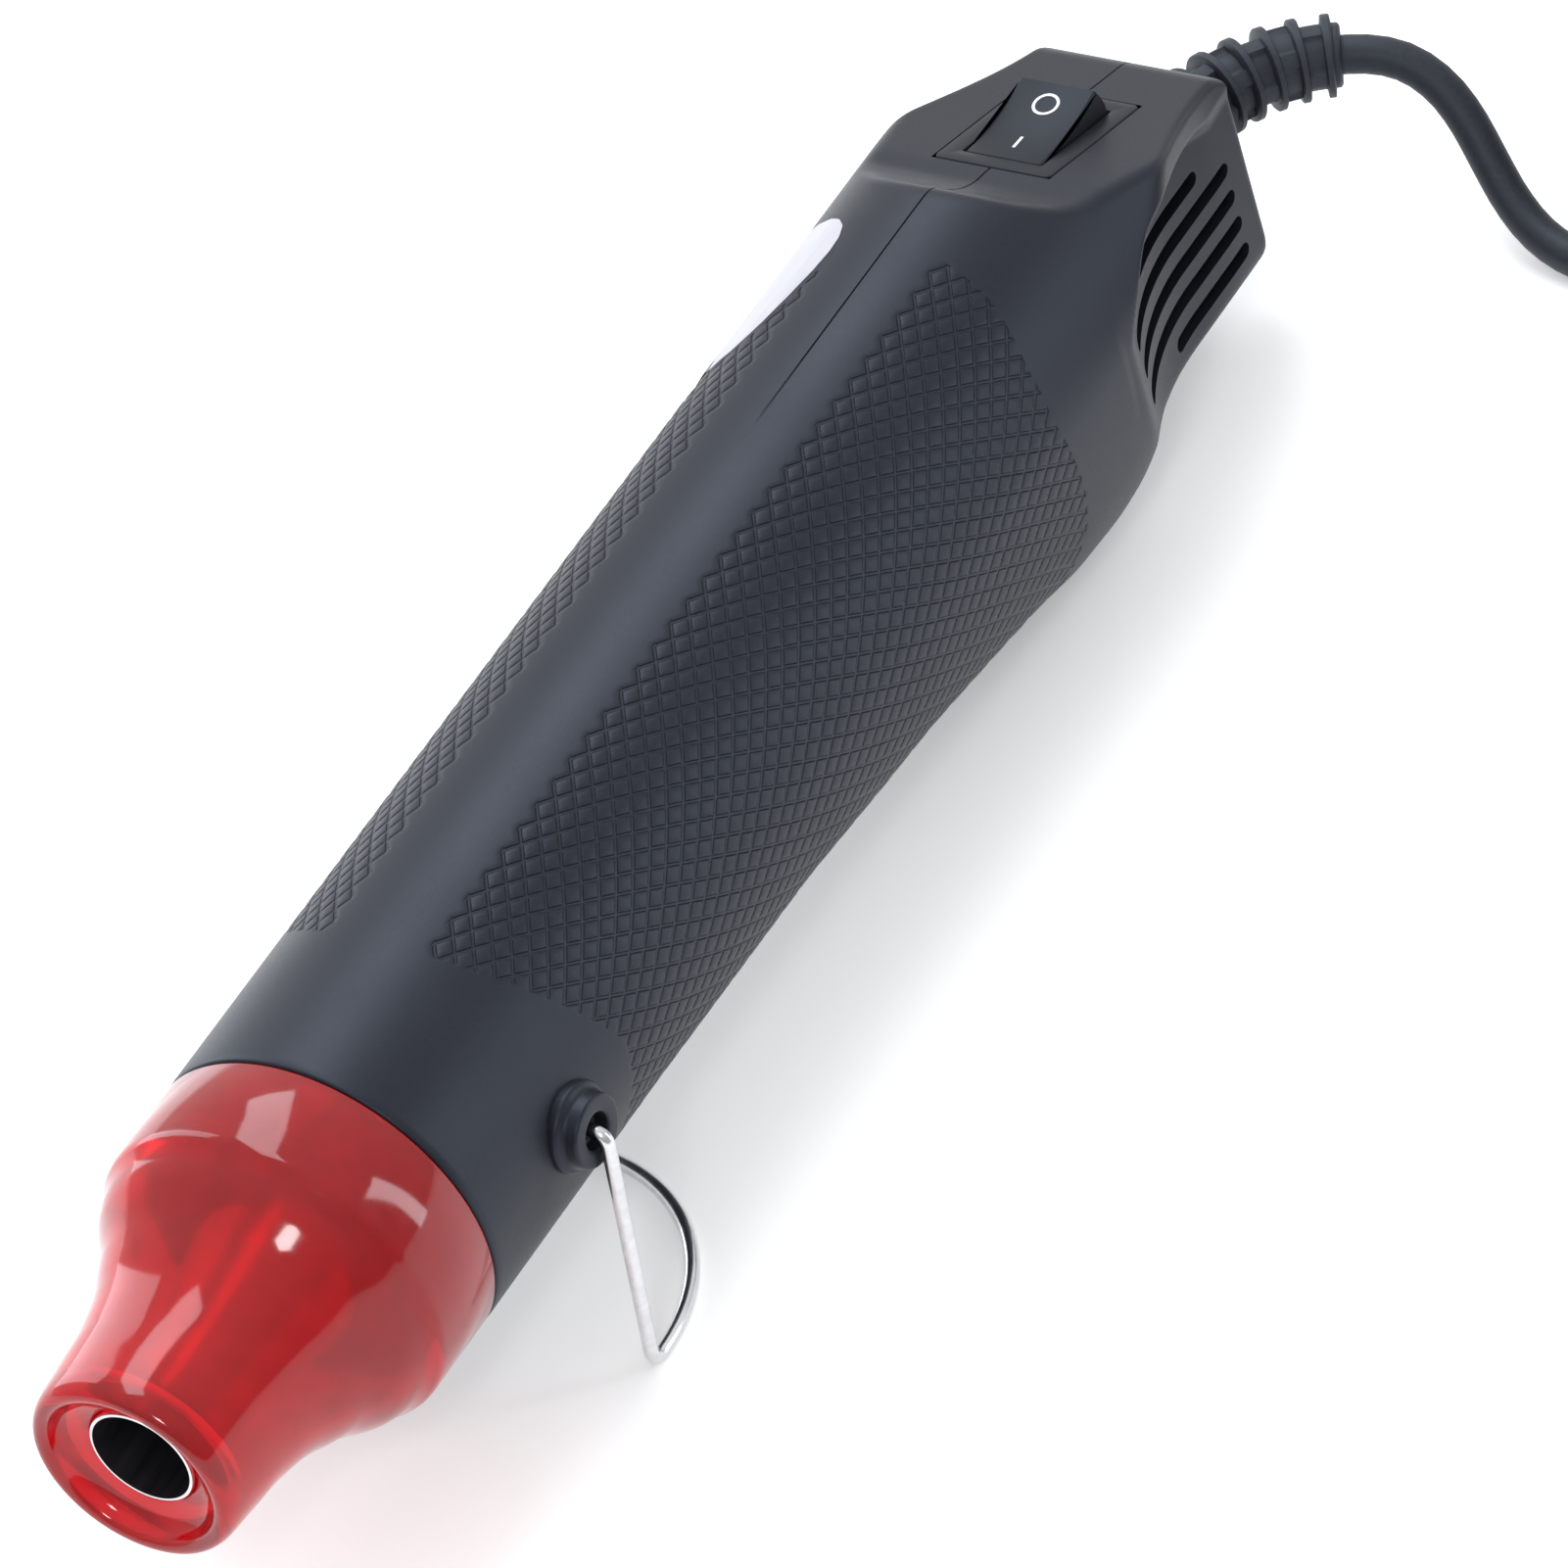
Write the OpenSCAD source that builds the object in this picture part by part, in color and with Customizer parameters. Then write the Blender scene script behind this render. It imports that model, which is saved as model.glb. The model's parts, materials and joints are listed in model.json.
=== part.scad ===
/* [Housing] */
// Diameter of the barrel
barrel_d = 50; // [48:0.5:52]
// Wall of the two shells
wall = 2.2; // [1.8:0.1:2.6]
// Mouth of the guard to the rear wall
body_len = 273; // [271:0.5:276]
// Mouth of the guard to the front edge of the shells
shell_y = 49.5; // [48:0.5:51]
// Depth of the belly below the axis, where the tool rests
belly_depth = 38; // [37:0.5:40]
// Depth of the tail below the axis
tail_depth = 30; // [29:0.5:32]
// Width of the tail between its scoops
tail_w = 28; // [27:0.5:30]
// Radius of the scoop in each side
scoop_r = 42.4; // [40:0.2:45]
// Cooling slots on each side
slot_count = 5; // [3:1:5]
// Width of a cooling slot
slot_w = 2.4; // [2:0.1:2.8]
// Distance from slot to slot
slot_pitch = 4.8; // [4.4:0.1:5]

/* [Nozzle] */
// Outer diameter of the guard at its mouth
mouth_d = 29.6; // [28:0.2:31]
// Wall of the guard
guard_wall = 2; // [1.6:0.1:2.3]
// Outer diameter of the steel outlet
outlet_d = 15.2; // [14:0.1:16]
// Wall of the steel tube
tube_wall = 0.6; // [0.5:0.1:0.8]
// Depth of the outlet behind the guard's mouth
outlet_y = 3.2; // [2.6:0.1:3.4]
// Outer diameter of the tube round the heater
heater_d = 26; // [25:0.5:27]
// Turns of the heating coil
heater_turns = 8; // [6:1:8]

/* [Stand] */
// Mouth of the guard to the stand's pivot
stand_y = 71.5; // [70:0.5:73]
// Diameter of the stand's wire
wire_d = 2; // [1.8:0.1:2.2]
// Diameter of the pivot bosses
boss_d = 10; // [9:0.5:11]
// How far the bosses stand out of the barrel
boss_out = 3.3; // [3:0.1:4]
// Forward lean of the open legs
stand_lean = 8; // [5:0.5:11]

/* [Switch] */
// Rear wall to the middle of the switch
switch_back = 25.7; // [25:0.1:26.5]
// Height of the platform above the axis at the switch
platform_z = 13.7; // [13:0.1:14.5]
// Fall of the platform towards the rear
platform_fall = 16.3; // [14:0.1:18]
// Width of the rocker
rocker_w = 12; // [11:0.5:12.5]
// Length of the rocker's top
rocker_len = 15.8; // [15:0.1:16.4]
// Tilt of the rocker either way
rocker_tilt = 16; // [12:0.5:16]

/* [Motor and fan] */
// Diameter of the motor
motor_d = 24.4; // [23:0.1:25]
// Length of the motor's can
motor_len = 31; // [29:0.5:32]
// Diameter of the motor's shaft
shaft_d = 2; // [1.8:0.1:2.3]
// Blades of the fan
blade_count = 7; // [5:1:9]
// Gap round the fan
fan_gap = 0.6; // [0.4:0.1:1]

/* [Cord] */
// Diameter of the cord
cord_d = 5.6; // [5.2:0.1:6]
// Diameter of the strain relief's widest rib
rib_d = 12.9; // [12.4:0.1:13.4]
// Distance from rib to rib
rib_pitch = 4.2; // [4:0.1:4.4]
// Diameter of the plug's pins
pin_d = 4; // [3.9:0.1:4.1]
// Length of the plug's pins
pin_len = 19; // [18:0.5:20]

/* [Hidden] */
$fn = 48;
// Gap of a piece that is slipped in, a running fit and a hair of overlap for cuts
slip = 0.1;
run_fit = 0.05;
barrel_r = barrel_d / 2;
inner_r = barrel_r - wall;
cord_r = cord_d / 2;
wire_r = wire_d / 2;
// Stations where the body changes, from the guard's mouth
loft_y = body_len - 138.5;
flare_y = body_len - 49.5;
scoop_y = body_len - 20.5;
roof_peak_y = body_len - 34.5;
roof_end_y = body_len - 7.5;
switch_y = body_len - switch_back;
clamp_y = body_len - 16.5;
roof_peak = 10;
roof_end = 3;
belly_back = [[138.5, barrel_r], [104.5, barrel_r + 3.5], [85.5, barrel_r + 7], [73.5, barrel_r + 9.3],
    [63.5, belly_depth - 1], [52.5, belly_depth], [46.5, belly_depth - 0.8],
    [41.5, tail_depth + 3.2], [36.5, tail_depth + 0.9], [28.5, tail_depth], [0, tail_depth]];
belly = [for (b = belly_back) [body_len - b[0], b[1]]];
belly_power = 2.2;
section_pts = 36;
tail_corner = 7;
// Neck of the shells inside the guard
neck_len = 9;
neck_r = barrel_r - guard_wall - slip;
neck_wall = 2;
// Guard
mouth_r = mouth_d / 2;
mouth_hole_r = mouth_r - 2.8;
web_y = 3.8;
web_t = 1.6;
outlet_r = outlet_d / 2;
heater_r = heater_d / 2;
collar_gap = 0.3;
band_y = 36;
// Heater
cone_start_y = 18.5;
cone_end_y = 40.5;
heater_end_y = 94.5;
liner_r = heater_r - tube_wall - slip;
liner_t = 0.5;
coil_wire_r = 0.5;
coil_r = liner_r - liner_t - 1.8;
cross_r = coil_r - coil_wire_r - slip;
cross_t = 0.8;
element_y0 = 46.5;
element_y1 = 91.5;
// Fan and motor
shroud_wall = 1.5;
shroud_r = inner_r - 1.3;
shroud_y0 = 96.5;
shroud_y1 = 108.5;
shroud_y2 = 134.5;
fan_y = 124.5;
fan_t = 11;
fan_r = shroud_r - shroud_wall - fan_gap;
hub_r = 6.5;
blade_t = 1.1;
blade_tilt = 38;
motor_r = motor_d / 2;
motor_y0 = 137.5;
motor_y1 = motor_y0 + motor_len;
can_t = 1;
bush_r = 4;
bush_len = 2.5;
shaft_r = shaft_d / 2;
shaft_run = 0.04;
magnet_t = 1.8;
cap_t = 3;
board_y = motor_y1 + cap_t + 2;
board_t = 1.6;
board_r = 11;
// Stand
leg_x = barrel_r + boss_out + 1.2;
bend_r = 2;
foot_z = -belly_depth + wire_r;
boss_x = barrel_r + boss_out;
pivot_end_x = barrel_r - 4.5;
counterbore_r = wire_r + 1.4;
// Switch, in a frame that lies on the platform
pivot_drop = 2.6;
rocker_h = 5;
rocker_r = norm([rocker_len / 2, rocker_h]);
cavity_r = rocker_r + 0.25;
cavity_w = rocker_w + 0.4;
frame_w = 18.2;
frame_len = 24.2;
frame_t = 1.2;
switch_w = 15.6;
switch_len = 21.2;
switch_h = 14;
pin_r = 1;
lead_r = 0.9;
// Strain relief and cord, with a route of points in the object's own frame
boot_z = -10.1;
boot_bend = 28.8;
boot_fall = 8;
boot_ribs = 7;
rib_t = 1.3;
first_rib = 3.6;
boot_len = first_rib + (boot_ribs - 1) * rib_pitch + 1.8;
rib_taper = 0.2;
floor_z = -belly_depth;
cord_z = floor_z + cord_r;
coil_turns = 6.5;
coil_ring = 5 * cord_d;
coil_pitch = cord_d + 0.5;
coil_x = 83;
coil_y = body_len + 16.5 + coil_ring;
tie_gap = 0.3;
tie_t = 1.2;
plug_h = 14;
plug_z = floor_z + plug_h / 2;
tail_top = cord_z + coil_turns * coil_pitch;
plug_x = 26;
plug_y = coil_y + coil_ring + 11;
plug_len = 36;
// Screws that join the shells: place along the body, height, inner face of the wall
screws = [for (s = [[86.5, 15, 13], [86.5, -22, 13], [57.5, -28, 12], [12.5, -22, 12]])
    [body_len - s[0], s[1], s[2]]];
screw_r = 1.45;
label_y0 = body_len - 82.3;
label_len = 26.5;
label_turn = 70;
label_t = 0.2;

// Everything is drawn from the guard's mouth and the axis, then set on the bench
module place() {
    translate([0, -body_len / 2, belly_depth])
        children();
}

module along_y(y) {
    translate([0, y, 0])
        rotate([-90, 0, 0])
            children();
}

module on_platform() {
    translate([0, switch_y, platform_z])
        rotate([-platform_fall, 0, 0])
            children();
}

// Profile of [along, radius] points turned about the axis
module turned(points) {
    rotate([-90, 0, 0])
        rotate_extrude()
            polygon([for (p = points) [p[1], p[0]]]);
}

module ring(y, length, outer, inner) {
    along_y(y)
        difference() {
            cylinder(h = length, r = outer);
            translate([0, 0, -1])
                cylinder(h = length + 2, r = inner);
        }
}

// Smooth curve through points, with n steps from each to the next
function knot(p, i) = p[max(0, min(i, len(p) - 1))];
function on_curve(a, b, c, d, t) = 0.5 * (2 * b + (c - a) * t
    + (2 * a - 5 * b + 4 * c - d) * t * t + (3 * b - a - 3 * c + d) * t * t * t);
function curve(p, n) = concat([for (i = [0:len(p) - 2], k = [0:n - 1])
    on_curve(knot(p, i - 1), p[i], p[i + 1], knot(p, i + 2), k / n)], [p[len(p) - 1]]);

// Tube round a path, with rings that don't twist
function unit(v) = v / norm(v);
function heading(p, i) = unit(knot(p, i + 1) - knot(p, i - 1));
function turned_with(u, t) = unit(u - (u * t) * t);
function sides_of(p) = [for (i = 0, u = turned_with([0.1, 0.2, 1], heading(p, 0)); i < len(p);
    i = i + 1, u = turned_with(u, heading(p, min(i, len(p) - 1)))) u];
module tube(p, r, n) {
    side = sides_of(p);
    last = (len(p) - 1) * n;
    points = [for (i = [0:len(p) - 1], k = [0:n - 1])
        p[i] + r * (cos(k * 360 / n) * side[i] + sin(k * 360 / n) * cross(heading(p, i), side[i]))];
    walls = [for (i = [0:len(p) - 2], k = [0:n - 1], half = [0, 1])
        let (a = i * n + k, b = i * n + (k + 1) % n)
        half == 0 ? [a, a + n, b] : [b, a + n, b + n]];
    caps = [for (k = [1:n - 2], half = [0, 1])
        half == 0 ? [0, k, k + 1] : [last, last + k + 1, last + k]];
    polyhedron(points = points, faces = concat(walls, caps), convexity = 8);
}

// Outer shape of the body, or its hollow when t is the wall
function section(y, depth, t) = [for (k = [0:section_pts - 1])
    let (a = k * 360 / section_pts, c = cos(a), s = sin(a), e = 2 / belly_power, r = barrel_r - t - 0.03)
    s >= 0 ? [r * c, y, r * s]
        : [r * sign(c) * pow(abs(c), e), y, -(depth - t - 0.03) * pow(-s, e)]];

module belly_loft(t) {
    n = section_pts;
    last = (len(belly) - 1) * n;
    rows = [for (b = belly) section(b[0] - (b[0] == body_len ? t : 0), b[1], t)];
    points = [for (row = rows, p = row) p];
    walls = [for (i = [0:len(belly) - 2], k = [0:n - 1], half = [0, 1])
        let (a = i * n + k, b = i * n + (k + 1) % n)
        half == 0 ? [a, b, a + n] : [b, b + n, a + n]];
    caps = [for (k = [1:n - 2], half = [0, 1])
        half == 0 ? [0, k + 1, k] : [last, last + k, last + k + 1]];
    polyhedron(points = points, faces = concat(walls, caps), convexity = 6);
}

function roof(y) = y < roof_peak_y ? roof_peak * sin(90 * (y - flare_y) / (roof_peak_y - flare_y))
    : y < roof_end_y ? roof_end + (roof_peak - roof_end) * cos(90 * (y - roof_peak_y) / (roof_end_y - roof_peak_y))
    : roof_end;
function side_x(y) = tail_w / 2 + 0.2 + (barrel_r - tail_w / 2) * (1 + cos(180 * (y - flare_y) / (body_len - flare_y))) / 2;

// Space above the platform, with the concave blend in front of it
module platform_cut(t) {
    front = platform_z + 12.3 * tan(platform_fall);
    rear = platform_z - 22.1 * tan(platform_fall);
    rotate([90, 0, 90])
        translate([0, 0, -barrel_r])
            linear_extrude(height = barrel_d)
                polygon([[flare_y - 3 - t, barrel_r + 1 - t], [flare_y - 1 - t, barrel_r - 0.1 - t],
                    [flare_y + 1.6 - t, 22.1 - t], [flare_y + 5 - t, 19.4 - t], [flare_y + 8 - t, 18 - t],
                    [switch_y - 12.3, front - t], [switch_y + 22.1 - t, rear - t],
                    [switch_y + 23.7 - t, rear - 1.1 - t], [body_len - t, rear - 3.6 - t],
                    [body_len + 1, rear - 3.6 - t], [body_len + 1, barrel_r + 1]]);
}

// Space beside the tail's top, which narrows in plan
module shoulder_cut(t) {
    steps = 10;
    for (side = [0, 1])
        mirror([side, 0, 0])
            translate([0, 0, -2])
                linear_extrude(height = barrel_r + 4)
                    polygon(concat([for (k = [0:steps])
                        let (y = flare_y + k * (body_len - flare_y) / steps)
                        [side_x(y) - t, y]], [[barrel_r + 5, body_len], [barrel_r + 5, flare_y]]));
}

// Space of the scoop below its roof, on both sides
module scoop_cut(t) {
    steps = 12;
    for (side = [0, 1])
        mirror([side, 0, 0])
            intersection() {
                union() {
                    translate([tail_w / 2 + scoop_r, scoop_y, -60])
                        cylinder(h = 100, r = scoop_r + t, $fn = 96);
                    translate([tail_w / 2 - t, scoop_y, -60])
                        cube([40, 40, 100]);
                }
                rotate([90, 0, 90])
                    linear_extrude(height = 40)
                        polygon(concat([for (k = [0:steps])
                            let (y = flare_y - t + k * (body_len - flare_y + t + 1) / steps)
                            [y, roof(y + (y < roof_peak_y ? t : 0)) + t]],
                            [[body_len + 1, -60], [flare_y - t, -60]]));
            }
}

module tail_corner_cut(t) {
    r = tail_corner;
    rotate([90, 0, 90])
        translate([0, 0, -barrel_r])
            linear_extrude(height = barrel_d)
                difference() {
                    translate([body_len - r - t, -tail_depth - 5])
                        square([r + 5, r + 5 + t]);
                    translate([body_len - r - t, -tail_depth + r + t])
                        circle(r = r);
                    translate([body_len - r - t - 1, -tail_depth + r + t])
                        square([r + 1, r + 1]);
                }
}

module form(t) {
    difference() {
        union() {
            along_y(shell_y)
                cylinder(h = loft_y - shell_y, r = barrel_r - t, $fn = 96);
            belly_loft(t);
        }
        platform_cut(t);
        shoulder_cut(t);
        scoop_cut(t);
        tail_corner_cut(t);
    }
}

module switch_opening() {
    on_platform() {
        translate([-frame_w / 2 - slip, -frame_len / 2 - slip, -frame_t])
            cube([frame_w + 2 * slip, frame_len + 2 * slip, 10]);
        translate([-switch_w / 2 - slip, -switch_len / 2 - slip, -frame_t - 8])
            cube([switch_w + 2 * slip, switch_len + 2 * slip, 12]);
    }
}

module slots() {
    for (k = [0:slot_count - 1]) {
        front = body_len - (k == 4 ? 26 : 41);
        rear = body_len - (k == 0 ? 13.8 : 6.4);
        translate([-30, 0, -2.2 - k * slot_pitch])
            rotate([0, 90, 0]) {
                translate([-slot_w / 2, front, 0])
                    cube([slot_w, rear - front, 60]);
                for (y = [front, rear])
                    translate([0, y, 0])
                        cylinder(h = 60, r = slot_w / 2, $fn = 16);
            }
    }
}

module label_sector(inner, outer, y, length, grow) {
    along_y(y)
        rotate([0, 0, 180 - grow])
            rotate_extrude(angle = label_turn + 2 * grow, $fn = 96)
                translate([inner, 0])
                    square([outer - inner, length]);
}

// Pivot boss and its collar, on the side where x is positive
module pivot_boss() {
    translate([0, stand_y, 0])
        rotate([0, 90, 0]) {
            translate([0, 0, pivot_end_x - 1.5])
                cylinder(h = boss_x - pivot_end_x + 1.5, r = boss_d / 2);
            translate([0, 0, barrel_r - 2])
                cylinder(h = 2.9, r = boss_d / 2 + 1.2);
        }
}

module pivot_bore() {
    translate([0, stand_y, 0])
        rotate([0, 90, 0]) {
            translate([0, 0, pivot_end_x - 0.3])
                cylinder(h = 20, r = wire_r + run_fit);
            translate([0, 0, boss_x - 2.4])
                cylinder(h = 10, r = counterbore_r);
        }
}

module shell() {
    difference() {
        union() {
            difference() {
                form(0);
                form(wall);
                along_y(shell_y - 1)
                    cylinder(h = 3, r = inner_r, $fn = 96);
                switch_opening();
                slots();
            }
            ring(shell_y - neck_len, neck_len + 3, neck_r, neck_r - neck_wall, $fn = 96);
        }
        along_y(shell_y - neck_len - 1)
            cylinder(h = 5, r = neck_r - neck_wall + 0.6);
        along_y(body_len - wall - 1)
            translate([0, -boot_z, 0])
                cylinder(h = wall + 2, r = 4.7);
    }
}

module side_half() {
    intersection() {
        shell();
        translate([0, 0, -60])
            cube([60, body_len + 10, 120]);
    }
}

// Shelf under the cord for the clamp
module clamp_shelf() {
    translate([3.2, clamp_y, boot_z - cord_r - 4])
        cube([tail_w / 2 - wall - 2.9, 6, 4]);
}

module clamp_holes(r, depth) {
    for (x = [-7, 7])
        translate([x, clamp_y + 3, boot_z - cord_r - depth])
            cylinder(h = depth + 1, r = r, $fn = 24);
}

module housing_right() color([0.12, 0.12, 0.14]) place() {
    difference() {
        union() {
            side_half();
            pivot_boss();
            for (s = screws)
                translate([0, s[0], s[1]])
                    rotate([0, 90, 0])
                        cylinder(h = s[2] + 1, r = 3.2);
            clamp_shelf();
        }
        pivot_bore();
        clamp_holes(1, 3.5);
        for (s = screws)
            translate([-1, s[0], s[1]])
                rotate([0, 90, 0])
                    cylinder(h = 9, r = screw_r - 0.05);
    }
}

module housing_left() color([0.12, 0.12, 0.14]) place() {
    difference() {
        union() {
            mirror([1, 0, 0]) {
                side_half();
                pivot_boss();
                clamp_shelf();
            }
            for (s = screws)
                translate([0, s[0], s[1]])
                    rotate([0, -90, 0])
                        cylinder(h = s[2] + 1, r = 4.4);
        }
        mirror([1, 0, 0])
            pivot_bore();
        clamp_holes(1, 3.5);
        for (s = screws)
            translate([1, s[0], s[1]])
                rotate([0, -90, 0]) {
                    cylinder(h = 20, r = screw_r + 0.25);
                    translate([0, 0, s[2] - 3])
                        cylinder(h = 30, r = 3);
                }
        label_sector(barrel_r - label_t, barrel_r + 1, label_y0, label_len, 0.3);
    }
}

module housing_screws() color([0.55, 0.55, 0.57]) place() {
    for (s = screws)
        translate([0, s[0], s[1]])
            rotate([0, -90, 0])
                difference() {
                    union() {
                        translate([0, 0, -7])
                            cylinder(h = s[2] + 3, r = screw_r, $fn = 24);
                        translate([0, 0, s[2] - 4])
                            cylinder(h = 2, r = 2.7, $fn = 32);
                    }
                    for (turn = [0, 90])
                        rotate([0, 0, turn])
                            translate([-1.6, -0.3, s[2] - 2.9])
                                cube([3.2, 0.6, 2]);
                }
}

module rating_label() color([0.75, 0.76, 0.78]) place() {
    label_sector(barrel_r - label_t, barrel_r - 0.02, label_y0 + 0.1, label_len - 0.2, 0);
}

// Red guard, with a web round the steel outlet
module nozzle_guard() color([0.75, 0.05, 0.08, 0.6]) place() {
    outer = [[0, mouth_r - 1.6], [0.3, mouth_r - 0.9], [0.8, mouth_r - 0.45], [1.8, mouth_r - 0.05],
        [3.5, mouth_r + 0.15], [7.9, mouth_r + 0.5], [12, mouth_r + 0.7], [16.5, mouth_r + 1.3],
        [19, mouth_r + 1.8], [21.5, mouth_r + 2.8], [23.5, mouth_r + 3.9], [26, mouth_r + 4.6],
        [28.5, mouth_r + 6.2], [31.3, mouth_r + 8.2], [34, mouth_r + 9],
        [band_y - 0.7, barrel_r - 0.5], [band_y, barrel_r], [shell_y, barrel_r]];
    inner = [[shell_y, barrel_r - guard_wall], [band_y + 2.2, barrel_r - guard_wall],
        [band_y - 0.5, barrel_r - guard_wall - 1.6], [31.9, mouth_r + 6.2], [29.3, mouth_r + 4.4],
        [26.1, mouth_r + 2.5], [22.5, mouth_r + 1.2], [19.3, mouth_r - 0.3],
        [web_y + web_t + 1, mouth_r - 1.9], [web_y + web_t, mouth_r - 2.5],
        [web_y + web_t, outlet_r + collar_gap + 1.2], [web_y + web_t + 2.4, outlet_r + collar_gap + 1.2],
        [web_y + web_t + 2.4, outlet_r + collar_gap], [web_y, outlet_r + collar_gap],
        [web_y, mouth_hole_r - 0.6], [web_y - 0.6, mouth_hole_r], [0.9, mouth_hole_r],
        [0.3, mouth_hole_r + 0.3], [0, mouth_hole_r + 0.8]];
    turned(concat(outer, inner));
}

module heater_tube() color([0.7, 0.71, 0.73]) place() {
    turned([[outlet_y, outlet_r], [cone_start_y, outlet_r], [cone_end_y, heater_r],
        [heater_end_y, heater_r], [heater_end_y, heater_r - tube_wall],
        [cone_end_y, heater_r - tube_wall], [cone_start_y, outlet_r - tube_wall],
        [outlet_y, outlet_r - tube_wall]]);
}

module mica_liner() color([0.8, 0.76, 0.62]) place() {
    ring(element_y0 - 2, element_y1 - element_y0 + 2, liner_r, liner_r - liner_t);
}

module mica_cross() color([0.82, 0.78, 0.64]) place() {
    for (turn = [45, 135])
        along_y(element_y0)
            rotate([0, 0, turn])
                translate([-cross_r, -cross_t / 2, 0])
                    cube([2 * cross_r, cross_t, element_y1 - element_y0]);
}

heater_pitch = (element_y1 - element_y0 - 8) / heater_turns;
heater_path = [for (k = [0:24 * heater_turns])
    [coil_r * cos(k * 15), element_y0 + 4 + k * heater_pitch / 24, coil_r * sin(k * 15)]];
echo(heating_coil_gap = heater_pitch - 2 * coil_wire_r);

module heating_coil() color([0.62, 0.6, 0.58]) place() {
    tube(heater_path, coil_wire_r, 6);
}

// Mica end plate that holds the cross and lets the air through
module element_base() color([0.85, 0.83, 0.76]) place() {
    along_y(element_y1)
        difference() {
            cylinder(h = 2.4, r = liner_r);
            for (turn = [0:90:270])
                rotate([0, 0, turn])
                    translate([6.4, 0, -1])
                        cylinder(h = 5, r = 3.2, $fn = 24);
        }
}

module thermal_cutout() color([0.78, 0.74, 0.66]) place() {
    translate([-2.5, element_y1 + 2.4, -1.8])
        cube([5, 7.5, 3.6]);
}

module fan_shroud() color([0.2, 0.2, 0.21]) place() {
    turned([[shroud_y0 - 6, heater_r + slip], [shroud_y0 - 6, heater_r + shroud_wall],
        [shroud_y0, heater_r + shroud_wall], [shroud_y1, shroud_r], [shroud_y2 - 4, shroud_r],
        [shroud_y2 - 4, inner_r - slip], [shroud_y2, inner_r - slip],
        [shroud_y2, shroud_r - shroud_wall], [shroud_y1, shroud_r - shroud_wall],
        [shroud_y0, heater_r + slip]]);
}

module fan_impeller() color([0.3, 0.31, 0.33]) place() {
    along_y(fan_y - fan_t / 2)
        difference() {
            union() {
                cylinder(h = fan_t, r = hub_r);
                intersection() {
                    for (k = [0:blade_count - 1])
                        rotate([0, 0, k * 360 / blade_count])
                            translate([hub_r - 1, 0, fan_t / 2])
                                rotate([blade_tilt, 0, 0])
                                    translate([0, -blade_t / 2, -7])
                                        cube([20, blade_t, 14]);
                    cylinder(h = fan_t, r = fan_r);
                }
            }
            translate([0, 0, -1])
                cylinder(h = fan_t + 2, r = shaft_r);
        }
}

module motor_shaft() color([0.75, 0.75, 0.77]) place() {
    along_y(fan_y - fan_t / 2)
        cylinder(h = motor_y1 + cap_t - 0.3 - fan_y + fan_t / 2, r = shaft_r);
}

module motor_can() color([0.66, 0.67, 0.69]) place() {
    turned([[motor_y0, shaft_r + shaft_run], [motor_y0 - bush_len, shaft_r + shaft_run],
        [motor_y0 - bush_len, bush_r], [motor_y0, bush_r], [motor_y0, motor_r], [motor_y1, motor_r],
        [motor_y1, motor_r - can_t], [motor_y0 + can_t, motor_r - can_t],
        [motor_y0 + can_t, shaft_r + shaft_run]]);
}

module motor_magnets() color([0.25, 0.25, 0.26]) place() {
    for (turn = [20, 200])
        along_y(motor_y0 + 4)
            rotate([0, 0, turn])
                rotate_extrude(angle = 140)
                    translate([motor_r - can_t - magnet_t, 0])
                        square([magnet_t, motor_len - 10]);
}

module motor_armature() color([0.6, 0.35, 0.2]) place() {
    reach = motor_r - can_t - magnet_t - 0.5;
    length = motor_len - 12;
    along_y(motor_y0 + 5)
        difference() {
            cylinder(h = length, r = reach);
            for (turn = [0:120:240])
                rotate([0, 0, turn]) {
                    translate([3, -0.9, -1])
                        cube([reach, 1.8, length + 2]);
                    translate([3.6, -2.6, -1])
                        cube([reach - 5.4, 5.2, length + 2]);
                }
            translate([0, 0, -2])
                cylinder(h = motor_len, r = shaft_r);
        }
}

module commutator() color([0.72, 0.45, 0.25]) place() {
    ring(motor_y1 - 6, 4, 2.4, shaft_r);
}

module motor_end_cap() color([0.16, 0.16, 0.17]) place() {
    ring(motor_y1, cap_t, motor_r, shaft_r + shaft_run);
    for (x = [-7, 7])
        translate([x - 1.2, motor_y1 + cap_t, -0.3])
            cube([2.4, board_y - motor_y1 - cap_t, 0.6]);
}

// Spoked ring between the motor and the shells, open to the air
module motor_mount() color([0.22, 0.22, 0.23]) place() {
    ring(motor_y0 + 2, 7, motor_r + 2, motor_r);
    ring(motor_y0 + 2, 7, inner_r - slip, inner_r - 2);
    for (turn = [45:90:315])
        along_y(motor_y0 + 2)
            rotate([0, 0, turn])
                translate([motor_r + 1, -1.5, 0])
                    cube([inner_r - motor_r - 2.5, 3, 7]);
}

module rectifier_board() color([0.13, 0.35, 0.2]) place() {
    along_y(board_y)
        cylinder(h = board_t, r = board_r);
}

module rectifier_diodes() color([0.1, 0.1, 0.1]) place() {
    for (x = [-6, -2, 2, 6])
        translate([x, board_y + board_t + 1.3, -8])
            cylinder(h = 5, r = 1.3, $fn = 24);
}

module capacitor() color([0.2, 0.3, 0.55]) place() {
    translate([0, 0, 4])
        along_y(board_y + board_t)
            cylinder(h = 9, r = 4);
}

module rocker_profile() {
    difference() {
        intersection() {
            circle(r = rocker_r, $fn = 96);
            translate([-rocker_len, -3])
                square([2 * rocker_len, rocker_h + 3]);
        }
        translate([0, rocker_h - 0.8 + 39])
            circle(r = 39, $fn = 180);
    }
}

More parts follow.
